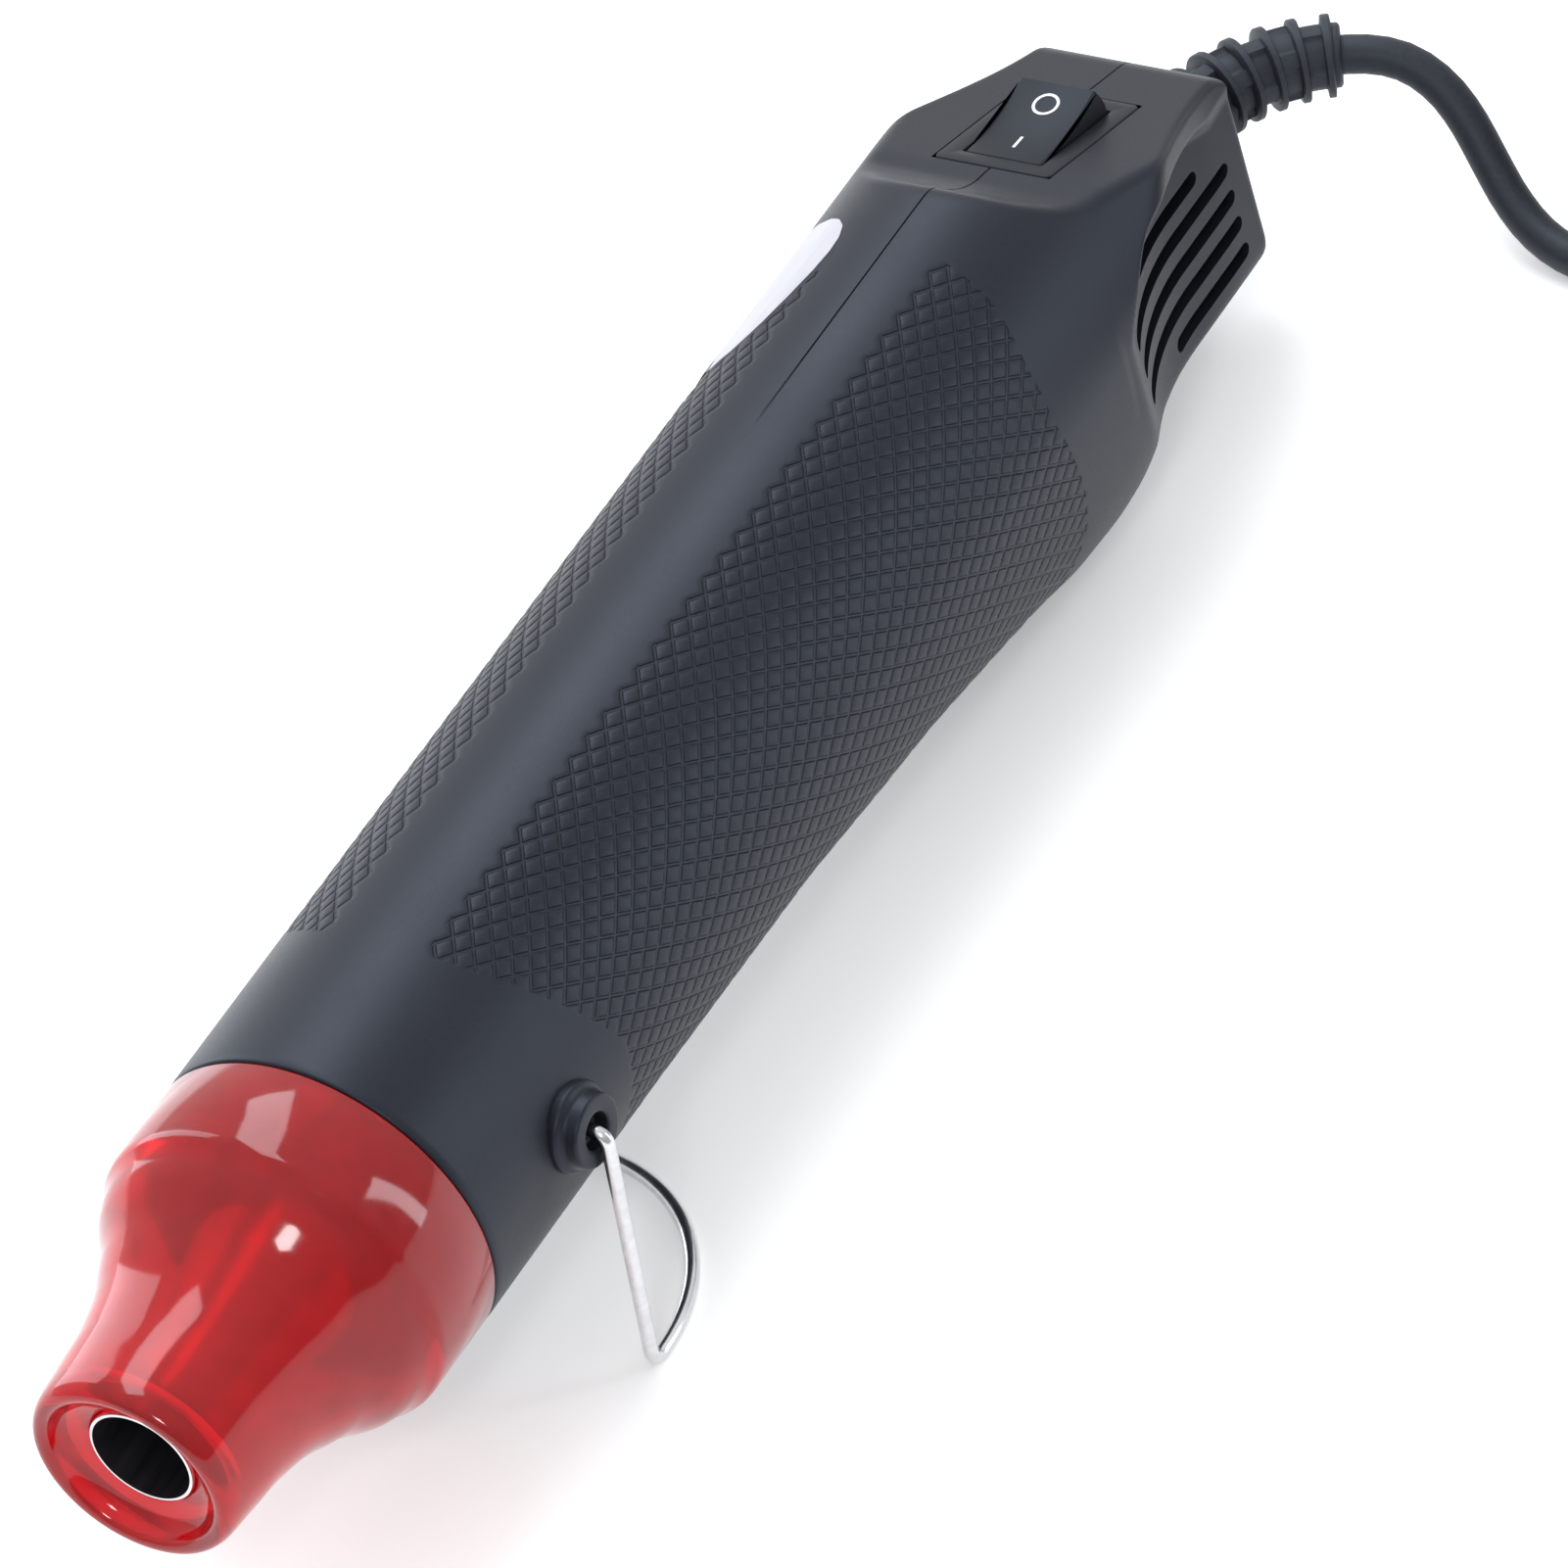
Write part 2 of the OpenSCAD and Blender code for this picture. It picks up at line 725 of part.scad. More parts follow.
module switch_body() color([0.07, 0.07, 0.08]) place() {
    on_platform()
        difference() {
            union() {
                translate([-frame_w / 2, -frame_len / 2, -frame_t])
                    cube([frame_w, frame_len, frame_t + 0.2]);
                translate([-switch_w / 2, -switch_len / 2, -switch_h])
                    cube([switch_w, switch_len, switch_h]);
            }
            translate([-cavity_w / 2, 0, -pivot_drop])
                rotate([0, 90, 0])
                    cylinder(h = cavity_w, r = cavity_r, $fn = 96);
            translate([-frame_w, 0, -pivot_drop])
                rotate([0, 90, 0])
                    cylinder(h = 2 * frame_w, r = pin_r, $fn = 32);
        }
}

module switch_rocker() color([0.05, 0.05, 0.055]) place() {
    on_platform()
        translate([0, 0, -pivot_drop])
            rotate([rocker_tilt, 0, 0])
                difference() {
                    rotate([90, 0, 90])
                        translate([0, 0, -rocker_w / 2])
                            linear_extrude(height = rocker_w)
                                rocker_profile();
                    translate([-rocker_w, 0, 0])
                        rotate([0, 90, 0])
                            cylinder(h = 2 * rocker_w, r = pin_r + run_fit, $fn = 32);
                }
}

module rocker_pin() color([0.7, 0.7, 0.72]) place() {
    on_platform()
        translate([-switch_w / 2, 0, -pivot_drop])
            rotate([0, 90, 0])
                cylinder(h = switch_w, r = pin_r, $fn = 32);
}

module switch_terminals() color([0.78, 0.6, 0.3]) place() {
    on_platform()
        for (y = [-6, 0, 6])
            translate([-2.4, y - 0.4, -switch_h - 7])
                cube([4.8, 0.8, 7]);
}

// Bent wire: a pin in each boss, two legs and a half-round foot
module stand() color([0.78, 0.78, 0.8]) place() {
    leg = (-foot_z - bend_r * (1 - sin(stand_lean))) / cos(stand_lean);
    foot_y = stand_y - leg * sin(stand_lean) + bend_r * cos(stand_lean);
    for (side = [0, 1])
        mirror([side, 0, 0]) {
            translate([0, stand_y, 0])
                rotate([-stand_lean, 0, 0]) {
                    translate([pivot_end_x, 0, 0])
                        rotate([0, 90, 0])
                            cylinder(h = leg_x - bend_r - pivot_end_x, r = wire_r);
                    translate([leg_x - bend_r, 0, -bend_r])
                        rotate([90, 0, 0])
                            rotate_extrude(angle = 90)
                                translate([bend_r, 0])
                                    circle(r = wire_r);
                    translate([leg_x, 0, -leg])
                        cylinder(h = leg - bend_r, r = wire_r);
                }
            translate([leg_x, foot_y, foot_z + bend_r])
                rotate([0, 0, 90])
                    rotate([90, 0, 0])
                        rotate([0, 0, 180 - stand_lean])
                            rotate_extrude(angle = 90 + stand_lean)
                                translate([bend_r, 0])
                                    circle(r = wire_r);
        }
    translate([0, foot_y, foot_z])
        rotate_extrude(angle = 180, $fn = 96)
            translate([leg_x, 0])
                circle(r = wire_r, $fn = 32);
}

module cord_clamp() color([0.2, 0.2, 0.21]) place() {
    difference() {
        translate([-10, clamp_y, boot_z - cord_r])
            cube([20, 6, 2 * cord_r + 3.2]);
        translate([-cord_r, clamp_y - 1, boot_z - cord_r - 1])
            cube([2 * cord_r, 8, 2 * cord_r + 1]);
        for (x = [-7, 7])
            translate([x, clamp_y + 3, boot_z - 10])
                cylinder(h = 20, r = 1.4, $fn = 24);
    }
}

module clamp_screws() color([0.6, 0.6, 0.62]) place() {
    for (x = [-7, 7])
        translate([x, clamp_y + 3, boot_z - cord_r - 3]) {
            cylinder(h = 2 * cord_r + 6.2, r = 1.1, $fn = 24);
            translate([0, 0, 2 * cord_r + 6.2])
                cylinder(h = 1.4, r = 2.2, $fn = 24);
        }
}

// Leads inside the shells, each from a terminal of the switch
module lead_heater() color([0.7, 0.1, 0.1]) place() {
    rear = [for (p = [[0, -5.9, -6.8], [0.6, -6.8, -10], [2, -9.8, -14], [3, -22.8, -20]])
        p + [0, switch_y, 0]];
    tube(curve(concat(rear, [[3, (switch_y + motor_y1) / 2 - 8, -19], [3, motor_y1 + 16, -15.5],
        [3, motor_y1 + 2, -17], [3, motor_y1 - 14, -17.4], [3, shroud_y2 + 0.5, -17.4]]), 4), lead_r, 6);
}

module lead_motor() color([0.1, 0.1, 0.6]) place() {
    rear = [for (p = [[0, -11.7, -5.1], [-2, -12.5, -9], [-5, -15.8, -13], [-7, -24.8, -16]])
        p + [0, switch_y, 0]];
    tube(curve(concat(rear, [[-7, (switch_y + board_y) / 2 - 3, -14], [-5, board_y + board_t + 11.4, -8],
        [-4, board_y + board_t + 2, -2]]), 4), lead_r, 6);
}

module lead_supply() color([0.45, 0.3, 0.15]) place() {
    tube(curve([for (p = [[0, -20.6, 0], [0, -21.4, 0], [0, -23, -0.9], [0, -25.1, -1.4], [0, -26.2, -0.4],
        [0, -25.9, 1.8]]) p + [0, body_len, boot_z]], 4), lead_r, 6);
}

// Place and heading along the bent strain relief
module along_boot(s) {
    translate([0, body_len, boot_z])
        rotate([0, boot_fall, 0])
            translate([boot_bend, 0, 0])
                rotate([0, 0, -s / boot_bend * 180 / PI])
                    translate([-boot_bend, 0, 0])
                        rotate([-90, 0, 0])
                            children();
}

module boot_sector(s0, s1, r) {
    turn = (s1 - s0) / boot_bend * 180 / PI;
    translate([0, body_len, boot_z])
        rotate([0, boot_fall, 0])
            translate([boot_bend, 0, 0])
                rotate([0, 0, 180 - s1 / boot_bend * 180 / PI])
                    rotate_extrude(angle = turn, $fn = 96)
                        translate([boot_bend, 0])
                            circle(r = r, $fn = 32);
}

module strain_relief() color([0.1, 0.1, 0.11]) place() {
    difference() {
        union() {
            boot_sector(0, boot_len, rib_d / 2 - 1.9);
            for (k = [0:boot_ribs - 1]) {
                s = first_rib + k * rib_pitch;
                r = rib_d / 2 - k * rib_taper / 2;
                along_boot(s)
                    translate([0, 0, -rib_t / 2])
                        cylinder(h = rib_t, r = r);
                if (k > 0)
                    for (turn = [0:90:270])
                        along_boot(s - rib_pitch / 2)
                            rotate([0, 0, turn + 45 * (k % 2)])
                                translate([-1.5, 3, -rib_pitch / 2 + 0.1])
                                    cube([3, r - 3.8, rib_pitch - 0.2]);
            }
            along_y(body_len)
                translate([0, -boot_z, 0])
                    cylinder(h = 2.4, r = rib_d / 2 - 0.6);
            along_y(body_len - wall - slip)
                translate([0, -boot_z, 0])
                    cylinder(h = wall + 1, r = 4.6);
            along_y(body_len - wall - slip - 2)
                translate([0, -boot_z, 0])
                    cylinder(h = 2, r = 6.2);
        }
        tube(bore_path, cord_r - 0.05, 12);
    }
}

// Cord through the strain relief, then points laid by hand down to the bench
function boot_point(s) = let (a = s / boot_bend * 180 / PI, out = boot_bend * (1 - cos(a)))
    [out * cos(boot_fall), body_len + boot_bend * sin(a), boot_z - out * sin(boot_fall)];
bore_path = curve(concat([[0, body_len - 8, boot_z]], [for (s = [-3, 0, 5, 10, 15, 20, 25, 30, 35])
    s < 0 ? [0, body_len + s, boot_z] : boot_point(s)]), 3);
cord_route = [for (p = [[19, 27.2, 25], [23.5, 28.3, 23.2], [27.8, 28.1, 20.2], [31.6, 26.7, 16.4],
    [35.2, 24.4, 12], [39.2, 21.7, 7.8], [44, 19.3, 4.6], [50, 17.5, 3], [57, 16.6, cord_r],
    [66, 16.5, cord_r]]) p + [0, body_len, floor_z]];
cord_inner = concat([[0, body_len - 20.5, boot_z], [0, body_len - 10.5, boot_z]],
    [for (s = [-3, 0, 5, 10, 15, 20, 25, 30]) s < 0 ? [0, body_len + s, boot_z] : boot_point(s)]);
cord_path = curve(concat(cord_inner, cord_route,
    [[coil_x - cord_d, coil_y - coil_ring, cord_z]]), 3);

module power_cord() color([0.11, 0.11, 0.12]) place() {
    tube(cord_path, cord_r, 10);
}

coil_path = concat([[coil_x - cord_d, coil_y - coil_ring, cord_z]],
    [for (k = [0:24 * coil_turns])
        let (a = k * 15 - 90)
        [coil_x + coil_ring * cos(a), coil_y + coil_ring * sin(a), cord_z + k * coil_pitch / 24]],
    [[coil_x - cord_d, coil_y + coil_ring, tail_top]]);
function coil_gap(p) = min([for (i = [0:2:len(p) - 1], j = [i + 12:len(p) - 1])
    norm(p[i] - p[j])]) - cord_d;
echo(cord_coil_gap = coil_gap(coil_path));

module cord_coil() color([0.11, 0.11, 0.12]) place() {
    tube(coil_path, cord_r, 6);
}

tail_route = concat([[coil_x - cord_d, coil_y + coil_ring, tail_top],
    [76, coil_y + coil_ring, tail_top - 0.1]], [for (p = [[67, -10.3, 41], [60, -9, 37], [55, -7, 31],
    [52.5, -5, 24.7], [50, -3, 18.4], [45, -1, 12.4], [38, 0, 8.4], [31, 0, plug_h / 2],
    [plug_x, 0, plug_h / 2]]) p + [0, plug_y, floor_z]]);

module cord_tail() color([0.11, 0.11, 0.12]) place() {
    tube(curve(tail_route, 3), cord_r, 10);
}

// Tie round all the turns on the side away from the tool, where the lowest turn has begun to climb
module cord_tie() color([0.06, 0.06, 0.06]) place() {
    low = coil_pitch / 4 - 0.2;
    high = (floor(coil_turns - 0.25) + 0.25) * coil_pitch + cord_d + tie_gap;
    translate([coil_x + coil_ring, coil_y, floor_z])
        difference() {
            translate([-cord_r - tie_gap - tie_t, -4, 0])
                cube([cord_d + 2 * tie_gap + 2 * tie_t, 8, high + tie_t]);
            translate([-cord_r - tie_gap, -5, low])
                cube([cord_d + 2 * tie_gap, 10, high - low]);
        }
}

module plug_body() color([0.1, 0.1, 0.11]) place() {
    translate([plug_x, plug_y, plug_z])
        rotate([0, -90, 0])
            difference() {
                union() {
                    hull() {
                        translate([0, 0, 6])
                            cylinder(h = 1, r = 5);
                        translate([-plug_h / 2, -13, 18])
                            cube([plug_h, 26, 1]);
                    }
                    translate([-plug_h / 2, -13, 18])
                        cube([plug_h, 26, plug_len - 18]);
                    translate([0, 0, -4])
                        cylinder(h = 11, r = 4.6);
                }
                translate([0, 0, -5])
                    cylinder(h = 5, r = cord_r - 0.05, $fn = 32);
            }
}

module plug_pins() color([0.8, 0.8, 0.82]) place() {
    for (side = [-1, 1])
        translate([plug_x - plug_len, plug_y + side * 9.5, plug_z])
            rotate([0, -90, 0])
                cylinder(h = pin_len, r = pin_d / 2);
}

housing_right();
housing_left();
nozzle_guard();
heater_tube();
mica_liner();
mica_cross();
heating_coil();
element_base();
thermal_cutout();
fan_shroud();
fan_impeller();
motor_shaft();
motor_can();
motor_magnets();
motor_armature();
commutator();
motor_end_cap();
motor_mount();
rectifier_board();
rectifier_diodes();
capacitor();
switch_body();
switch_rocker();
rocker_pin();
switch_terminals();
stand();
rating_label();
housing_screws();
cord_clamp();
clamp_screws();
lead_heater();
lead_motor();
lead_supply();
strain_relief();
power_cord();
cord_coil();
cord_tail();
cord_tie();
plug_body();
plug_pins();
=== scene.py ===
import bmesh
import bpy
import json
import math
import numpy as np
from mathutils import Matrix, Vector

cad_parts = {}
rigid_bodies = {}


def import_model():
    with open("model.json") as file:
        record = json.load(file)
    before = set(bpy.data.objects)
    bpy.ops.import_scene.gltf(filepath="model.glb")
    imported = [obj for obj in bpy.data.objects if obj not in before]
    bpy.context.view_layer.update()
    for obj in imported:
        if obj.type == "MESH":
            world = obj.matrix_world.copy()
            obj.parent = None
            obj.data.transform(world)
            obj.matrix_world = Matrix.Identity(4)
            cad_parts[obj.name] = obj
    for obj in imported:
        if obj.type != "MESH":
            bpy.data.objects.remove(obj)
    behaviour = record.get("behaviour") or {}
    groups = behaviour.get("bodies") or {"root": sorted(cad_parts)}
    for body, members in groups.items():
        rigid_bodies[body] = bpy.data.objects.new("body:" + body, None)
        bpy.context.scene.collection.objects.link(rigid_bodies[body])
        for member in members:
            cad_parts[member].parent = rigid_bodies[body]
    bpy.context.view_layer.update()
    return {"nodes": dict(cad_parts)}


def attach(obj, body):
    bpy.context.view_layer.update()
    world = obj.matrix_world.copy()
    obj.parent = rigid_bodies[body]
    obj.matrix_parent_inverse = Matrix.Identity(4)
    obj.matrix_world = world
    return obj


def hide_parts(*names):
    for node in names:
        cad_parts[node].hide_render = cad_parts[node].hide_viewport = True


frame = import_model()
mm = 0.001

# All shapes are worked out in millimetres across, along and above the barrel's axis
# "mouth" is where the guard begins and "length" where the rear wall ends
body = {"length": 278.5, "mouth": 5.5, "axisHeight": 38.0, "barrelR": 25.0, "wall": 2.2, "flare": 229.0,
        "tailDepth": 30.0, "bellyDepth": 38.0, "tailWidth": 28.0, "scoopR": 42.4, "scoopAlong": 258.0,
        "roofPeak": 10.0, "roofPeakAlong": 244.0, "roofEnd": 3.0, "roofEndAlong": 271.0, "tailCorner": 7.0}
# The frame's steps are half width, half length, corner and height above the platform
switch = {"along": 252.8, "up": 13.7, "fall": 16.3, "pivotDrop": 2.6, "tilt": 16.0, "frameGap": 0.22,
          "bodyGap": 0.1, "frameWidth": 18.2, "frameLength": 24.2, "bodyWidth": 15.6, "bodyLength": 21.2,
          "rockerWidth": 12.0, "rockerLength": 15.8, "rockerHeight": 5.0, "hollowR": 39.0, "hollowDrop": 0.8,
          "frameSteps": ((7.8, 10.6, 0.6, -13.5), (7.8, 10.6, 0.6, -1.2), (9.1, 12.1, 1.0, -1.19),
                         (9.1, 12.1, 1.0, -0.05), (9.0, 12.0, 0.9, 0.08), (8.85, 11.85, 0.8, 0.12),
                         (6.5, 9.45, 0.5, 0.12), (6.3, 9.28, 0.3, 0.05), (6.2, 9.2, 0.25, -0.15),
                         (6.2, 9.45, 0.2, -1.2), (6.2, 9.58, 0.2, -2.6), (6.2, 9.0, 0.2, -6.0),
                         (6.2, 7.0, 0.2, -9.2))}
middleAlong = (body["length"] + body["mouth"]) / 2


def place(points):
    # Millimetres become metres, with the middle between mouth and rear wall over the origin
    return (np.asarray(points, float) + [0.0, -middleAlong, body["axisHeight"]]) * mm


# Camera: fitted to the photograph at the real size, about 1.7 m away
camera = {"at": (870.5, -827.6, 1115.7), "focal": 13374.0, "pixels": 1601,
          "right": (0.846102, 0.482656, -0.226172), "down": (0.187379, -0.666575, -0.721503),
          "forward": (-0.498999, 0.568086, -0.654430)}


def makeCamera():
    # A camera turned by the fitted directions, with its lens from focal length over picture width
    data = bpy.data.cameras.new("camera")
    data.sensor_width = 36.0
    data.lens = 36.0 * camera["focal"] / camera["pixels"]
    data.clip_end = 20.0
    obj = bpy.data.objects.new("camera", data)
    bpy.context.collection.objects.link(obj)
    right, down, forward = (Vector(camera[key]).normalized() for key in ("right", "down", "forward"))
    turn = Matrix((right, -down, -forward)).transposed().to_4x4()
    obj.matrix_world = Matrix.Translation(place(camera["at"])) @ turn
    bpy.context.scene.camera = obj


makeCamera()
print("camera made")


# Mesh helpers

def meshObject(name, points, faces, smooth=True, bodyName="root"):
    # Points in metres and their faces, linked to the scene and riding on a body
    mesh = bpy.data.meshes.new(name)
    mesh.from_pydata(np.asarray(points, float).tolist(), [], [tuple(f) for f in faces])
    mesh.update()
    mesh.polygons.foreach_set("use_smooth", np.full(len(mesh.polygons), smooth))
    obj = bpy.data.objects.new(name, mesh)
    bpy.context.collection.objects.link(obj)
    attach(obj, bodyName)
    return obj


def gridFaces(rows, columns, wrapColumns=False, wrapRows=False):
    # Quads between neighbouring rows and columns of a grid of points
    i = np.arange(rows if wrapRows else rows - 1)[:, None]
    j = np.arange(columns if wrapColumns else columns - 1)[None, :]
    i2, j2 = (i + 1) % rows, (j + 1) % columns
    corners = [i * columns + j, i2 * columns + j, i2 * columns + j2, i * columns + j2]
    return np.stack(corners, -1).reshape(-1, 4)


def smoothPath(points, step):
    # Catmull-Rom curve through points, with its points step apart
    points = np.asarray(points, float)
    padded = np.vstack([points[:1], points, points[-1:]])
    t = np.linspace(0, 1, 24, endpoint=False)[:, None]
    pieces = []
    for a, b, c, d in zip(padded, padded[1:], padded[2:], padded[3:]):
        pieces.append(0.5 * (2 * b + (c - a) * t + (2 * a - 5 * b + 4 * c - d) * t ** 2
                             + (3 * b - a - 3 * c + d) * t ** 3))
    fine = np.vstack(pieces + [points[-1:]])
    return evenPath(fine, step)


def evenPath(points, step):
    # The same line with its points an even step apart
    lengths = np.linalg.norm(np.diff(points, axis=0), axis=1)
    along = np.concatenate([[0], np.cumsum(lengths)])
    count = max(2, int(round(along[-1] / step)) + 1)
    want = np.linspace(0, along[-1], count)
    return np.stack([np.interp(want, along, points[:, k]) for k in range(3)], 1)


def pathFrames(points):
    # Heading and two directions across it, carried along the path without twist
    heading = np.gradient(points, axis=0)
    heading /= np.linalg.norm(heading, axis=1)[:, None]
    side = np.cross(heading[0], [0.13, 0.31, 1.0])
    sides = np.empty_like(points)
    for k, h in enumerate(heading):
        side = side - side @ h * h
        side = side / np.linalg.norm(side)
        sides[k] = side
    return heading, sides, np.cross(heading, sides)


def tubeMesh(name, points, radius, sides=24, bodyName="root"):
    # Circle of the radius carried along the path, closed by a fan at each end
    points = np.asarray(points, float)
    _, u, v = pathFrames(points)
    a = np.linspace(0, 2 * np.pi, sides, endpoint=False)
    radius = np.broadcast_to(radius, len(points))[:, None, None]
    across, up = np.cos(a)[None, :, None] * u[:, None], np.sin(a)[None, :, None] * v[:, None]
    ring = points[:, None] + radius * (across + up)
    n = len(points)
    faces = gridFaces(n, sides, wrapColumns=True)[:, ::-1].tolist()
    vertices = np.vstack([ring.reshape(-1, 3), points[:1], points[-1:]])
    first, last = n * sides, n * sides + 1
    for k in range(sides):
        k2 = (k + 1) % sides
        faces.append((first, k2, k))
        faces.append((last, (n - 1) * sides + k, (n - 1) * sides + k2))
    obj = meshObject(name, place(vertices), faces, bodyName=bodyName)
    fixNormals(obj)
    return obj


def fixNormals(obj):
    # Doubles merged, faces turned outwards
    b = bmesh.new()
    b.from_mesh(obj.data)
    bmesh.ops.remove_doubles(b, verts=b.verts, dist=1e-7)
    bmesh.ops.recalc_face_normals(b, faces=b.faces)
    b.to_mesh(obj.data)
    b.free()
    obj.data.update()


# Cord: from inside the shell, through the bent strain relief, down to the bench, coil and plug
cord = {"diameter": 5.6, "bendR": 28.8, "bendFall": 8.0, "exitUp": -10.1, "turns": 6.5, "coilAcross": 83.0,
        "plugAcross": 26.0, "plugAlong": 362.0, "pitchSpare": 0.5, "holeR": 4.7, "coilSteps": 72}
cordR = cord["diameter"] / 2
coilR = 5 * cord["diameter"]
coilAlong = body["length"] + 16.5 + coilR
cordUp = -body["bellyDepth"] + cordR
coilPitch = cord["diameter"] + cord["pitchSpare"]
coilTop = cordUp + cord["turns"] * coilPitch
plugUp = -body["bellyDepth"] + 7.0


def reliefPoint(s):
    # Arc that bends from straight back towards the side, falling a little
    a = s / cord["bendR"]
    out = cord["bendR"] * (1 - math.cos(a))
    fall = math.radians(cord["bendFall"])
    return [out * math.cos(fall), body["length"] + cord["bendR"] * math.sin(a),
            cord["exitUp"] - out * math.sin(fall)]


def cordPath():
    # Lead inside the shell, the relief's bend, the free drop, a rising helix and the tail to the plug
    inner = [[0, 258, cord["exitUp"]], [0, 268, cord["exitUp"]], [0, body["length"] - 3, cord["exitUp"]]]
    inner += [reliefPoint(s) for s in (0, 5, 10, 15, 20, 25, 30)]
    route = [[19, 305.7, -13], [23.5, 306.8, -14.8], [27.8, 306.6, -17.8], [31.6, 305.2, -21.6],
             [35.2, 302.9, -26], [39.2, 300.2, -30.2], [44, 297.8, -33.4], [50, 296, -35],
             [57, 295.1, cordUp], [66, coilAlong - coilR, cordUp],
             [cord["coilAcross"] - cord["diameter"], coilAlong - coilR, cordUp]]
    free = smoothPath(inner + route, 2.5)
    k = np.arange(int(cord["coilSteps"] * cord["turns"]) + 1)
    a = np.radians(k * 360 / cord["coilSteps"] - 90)
    coil = np.stack([cord["coilAcross"] + coilR * np.cos(a), coilAlong + coilR * np.sin(a),
                     cordUp + k * coilPitch / cord["coilSteps"]], 1)
    y = coilAlong + coilR
    tail = [[cord["coilAcross"] - cord["diameter"], y, coilTop], [76, y, coilTop - 0.1],
            [67, 351.7, 3], [60, 353, -1], [55, 355, -7], [52.5, 357, -13.3], [50, 359, -19.6],
            [45, 361, -25.6], [38, 362, -29.6], [31, cord["plugAlong"], plugUp],
            [cord["plugAcross"], cord["plugAlong"], plugUp]]
    return np.vstack([free, coil, smoothPath(tail, 2.5)])


path = evenPath(cordPath(), 2.6)
powerCord = tubeMesh("powerCord", path, cordR - 0.02, sides=20)
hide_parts("power_cord", "cord_coil", "cord_tail")


# Housing: each half is one closed skin with its knurl in the mesh

form = {"belly": ((140.0, 25.0), (174.0, 28.5), (193.0, 32.0), (205.0, 34.3), (215.0, 37.0), (226.0, 38.0),
                  (232.0, 37.2), (237.0, 33.2), (242.0, 30.9), (250.0, 30.0), (278.5, 30.0)),
        "platform": ((226.0, 26.0), (228.0, 24.9), (230.6, 22.1), (234.0, 19.4), (237.0, 18.0), (240.5, 17.3),
                     (274.9, 7.24), (276.5, 6.14), (278.5, 3.64)),
        "edge": 1.3, "innerCorner": 2.2, "rearEdge": 1.3, "columns": 190, "innerColumns": 40,
        "curveWeight": 2.6, "seam": 0.32, "seamWidth": 0.16, "seamStart": 178.0, "seamGrow": 16.0,
        "front": (46.0, 46.5, 50.0, 54.9, 55.0, 55.0, 55.15, 55.4),
        "frontR": (22.6, 22.9, 22.9, 22.9, 22.9, 24.6, 24.85, 24.97),
        "rear": (277.3, 277.7, 278.0, 278.25, 278.42, 278.5),
        "innerFront": (46.0, 50.0, 58.0, 58.0), "innerRear": 276.3, "neckBoreR": 20.9}
knurl = {"along": 4.4, "across": 3.08, "depth": 0.16, "width": 0.6, "fineDepth": 0.27, "fineWidth": 0.34,
         "front": ((0, 79.0), (17, 79.0), (37, 81.0), (55, 84.6), (86, 91.0), (114, 89.0), (180, 86.0)),
         "rear": ((0, 216.0), (22, 216.0), (39, 214.4), (60, 210.4), (78, 209.0), (112, 211.7), (127, 212.0),
                  (180, 206.0)), "strip": 17.0}
label = {"start": 196.2, "length": 26.5, "to": 90.0, "outerR": 25.08, "innerR": 24.8,
         "rows": 60, "columns": 30,
         "edge": ((193.0, 41.0), (195.0, 34.0), (197.5, 30.0), (200.0, 27.2), (205.0, 23.5), (210.0, 20.8),
                  (214.0, 19.7), (217.0, 20.2), (219.5, 22.5), (221.3, 27.0), (222.3, 33.0), (222.7, 40.0)),
         "lower": ((193.0, 42.0), (194.0, 42.8), (196.4, 44.5), (196.8, 88.0), (221.0, 89.5), (222.2, 89.0),
                   (222.7, 86.0))}
slots = {"width": 2.4, "pitch": 4.8, "top": -2.2, "depth": 30.0,
         "ends": ((237.5, 264.7), (237.5, 272.1), (237.5, 272.1), (237.5, 272.1), (252.5, 272.1))}
screws = {"places": ((192.0, 15.0, 13.0), (192.0, -22.0, 13.0), (221.0, -28.0, 12.0), (266.0, -22.0, 12.0)),
          "pocket": 3.0, "wall": 1.4, "floor": 3.6, "lip": 0.8}
farInside = -20.0  # a field value that never shapes the surface


def tableAt(pairs, y, blur):
    # Straight lines between table points, averaged over the blur length
    pairs = np.asarray(pairs, float)
    shifts = np.linspace(-blur, blur, 9)
    weights = np.cos(shifts / (blur + 1e-9) * 1.3)
    values = (w * np.interp(y + d, pairs[:, 0], pairs[:, 1]) for d, w in zip(shifts, weights))
    return sum(values) / weights.sum()


def roofAt(y):
    # Sine up to the peak, cosine down to the end
    up = body["roofPeak"] * np.sin(np.pi / 2 * (y - body["flare"]) / (body["roofPeakAlong"] - body["flare"]))
    turn = (y - body["roofPeakAlong"]) / (body["roofEndAlong"] - body["roofPeakAlong"])
    down = body["roofEnd"] + (body["roofPeak"] - body["roofEnd"]) * np.cos(np.pi / 2 * np.clip(turn, 0, 1))
    return np.where(y < body["roofPeakAlong"], up, down)


def sideAt(y):
    # Half a cosine wave from the barrel's width to the tail's
    turn = np.clip((y - body["flare"]) / (body["length"] - body["flare"]), 0, 1)
    half = body["tailWidth"] / 2
    return half + 0.2 + (body["barrelR"] - half) * (1 + np.cos(np.pi * turn)) / 2


def smoothMax(a, b, k):
    # The larger of two fields, raised where they are closer than k
    h = np.clip(k - np.abs(a - b), 0, None) / k
    return np.maximum(a, b) + h * h * k / 4


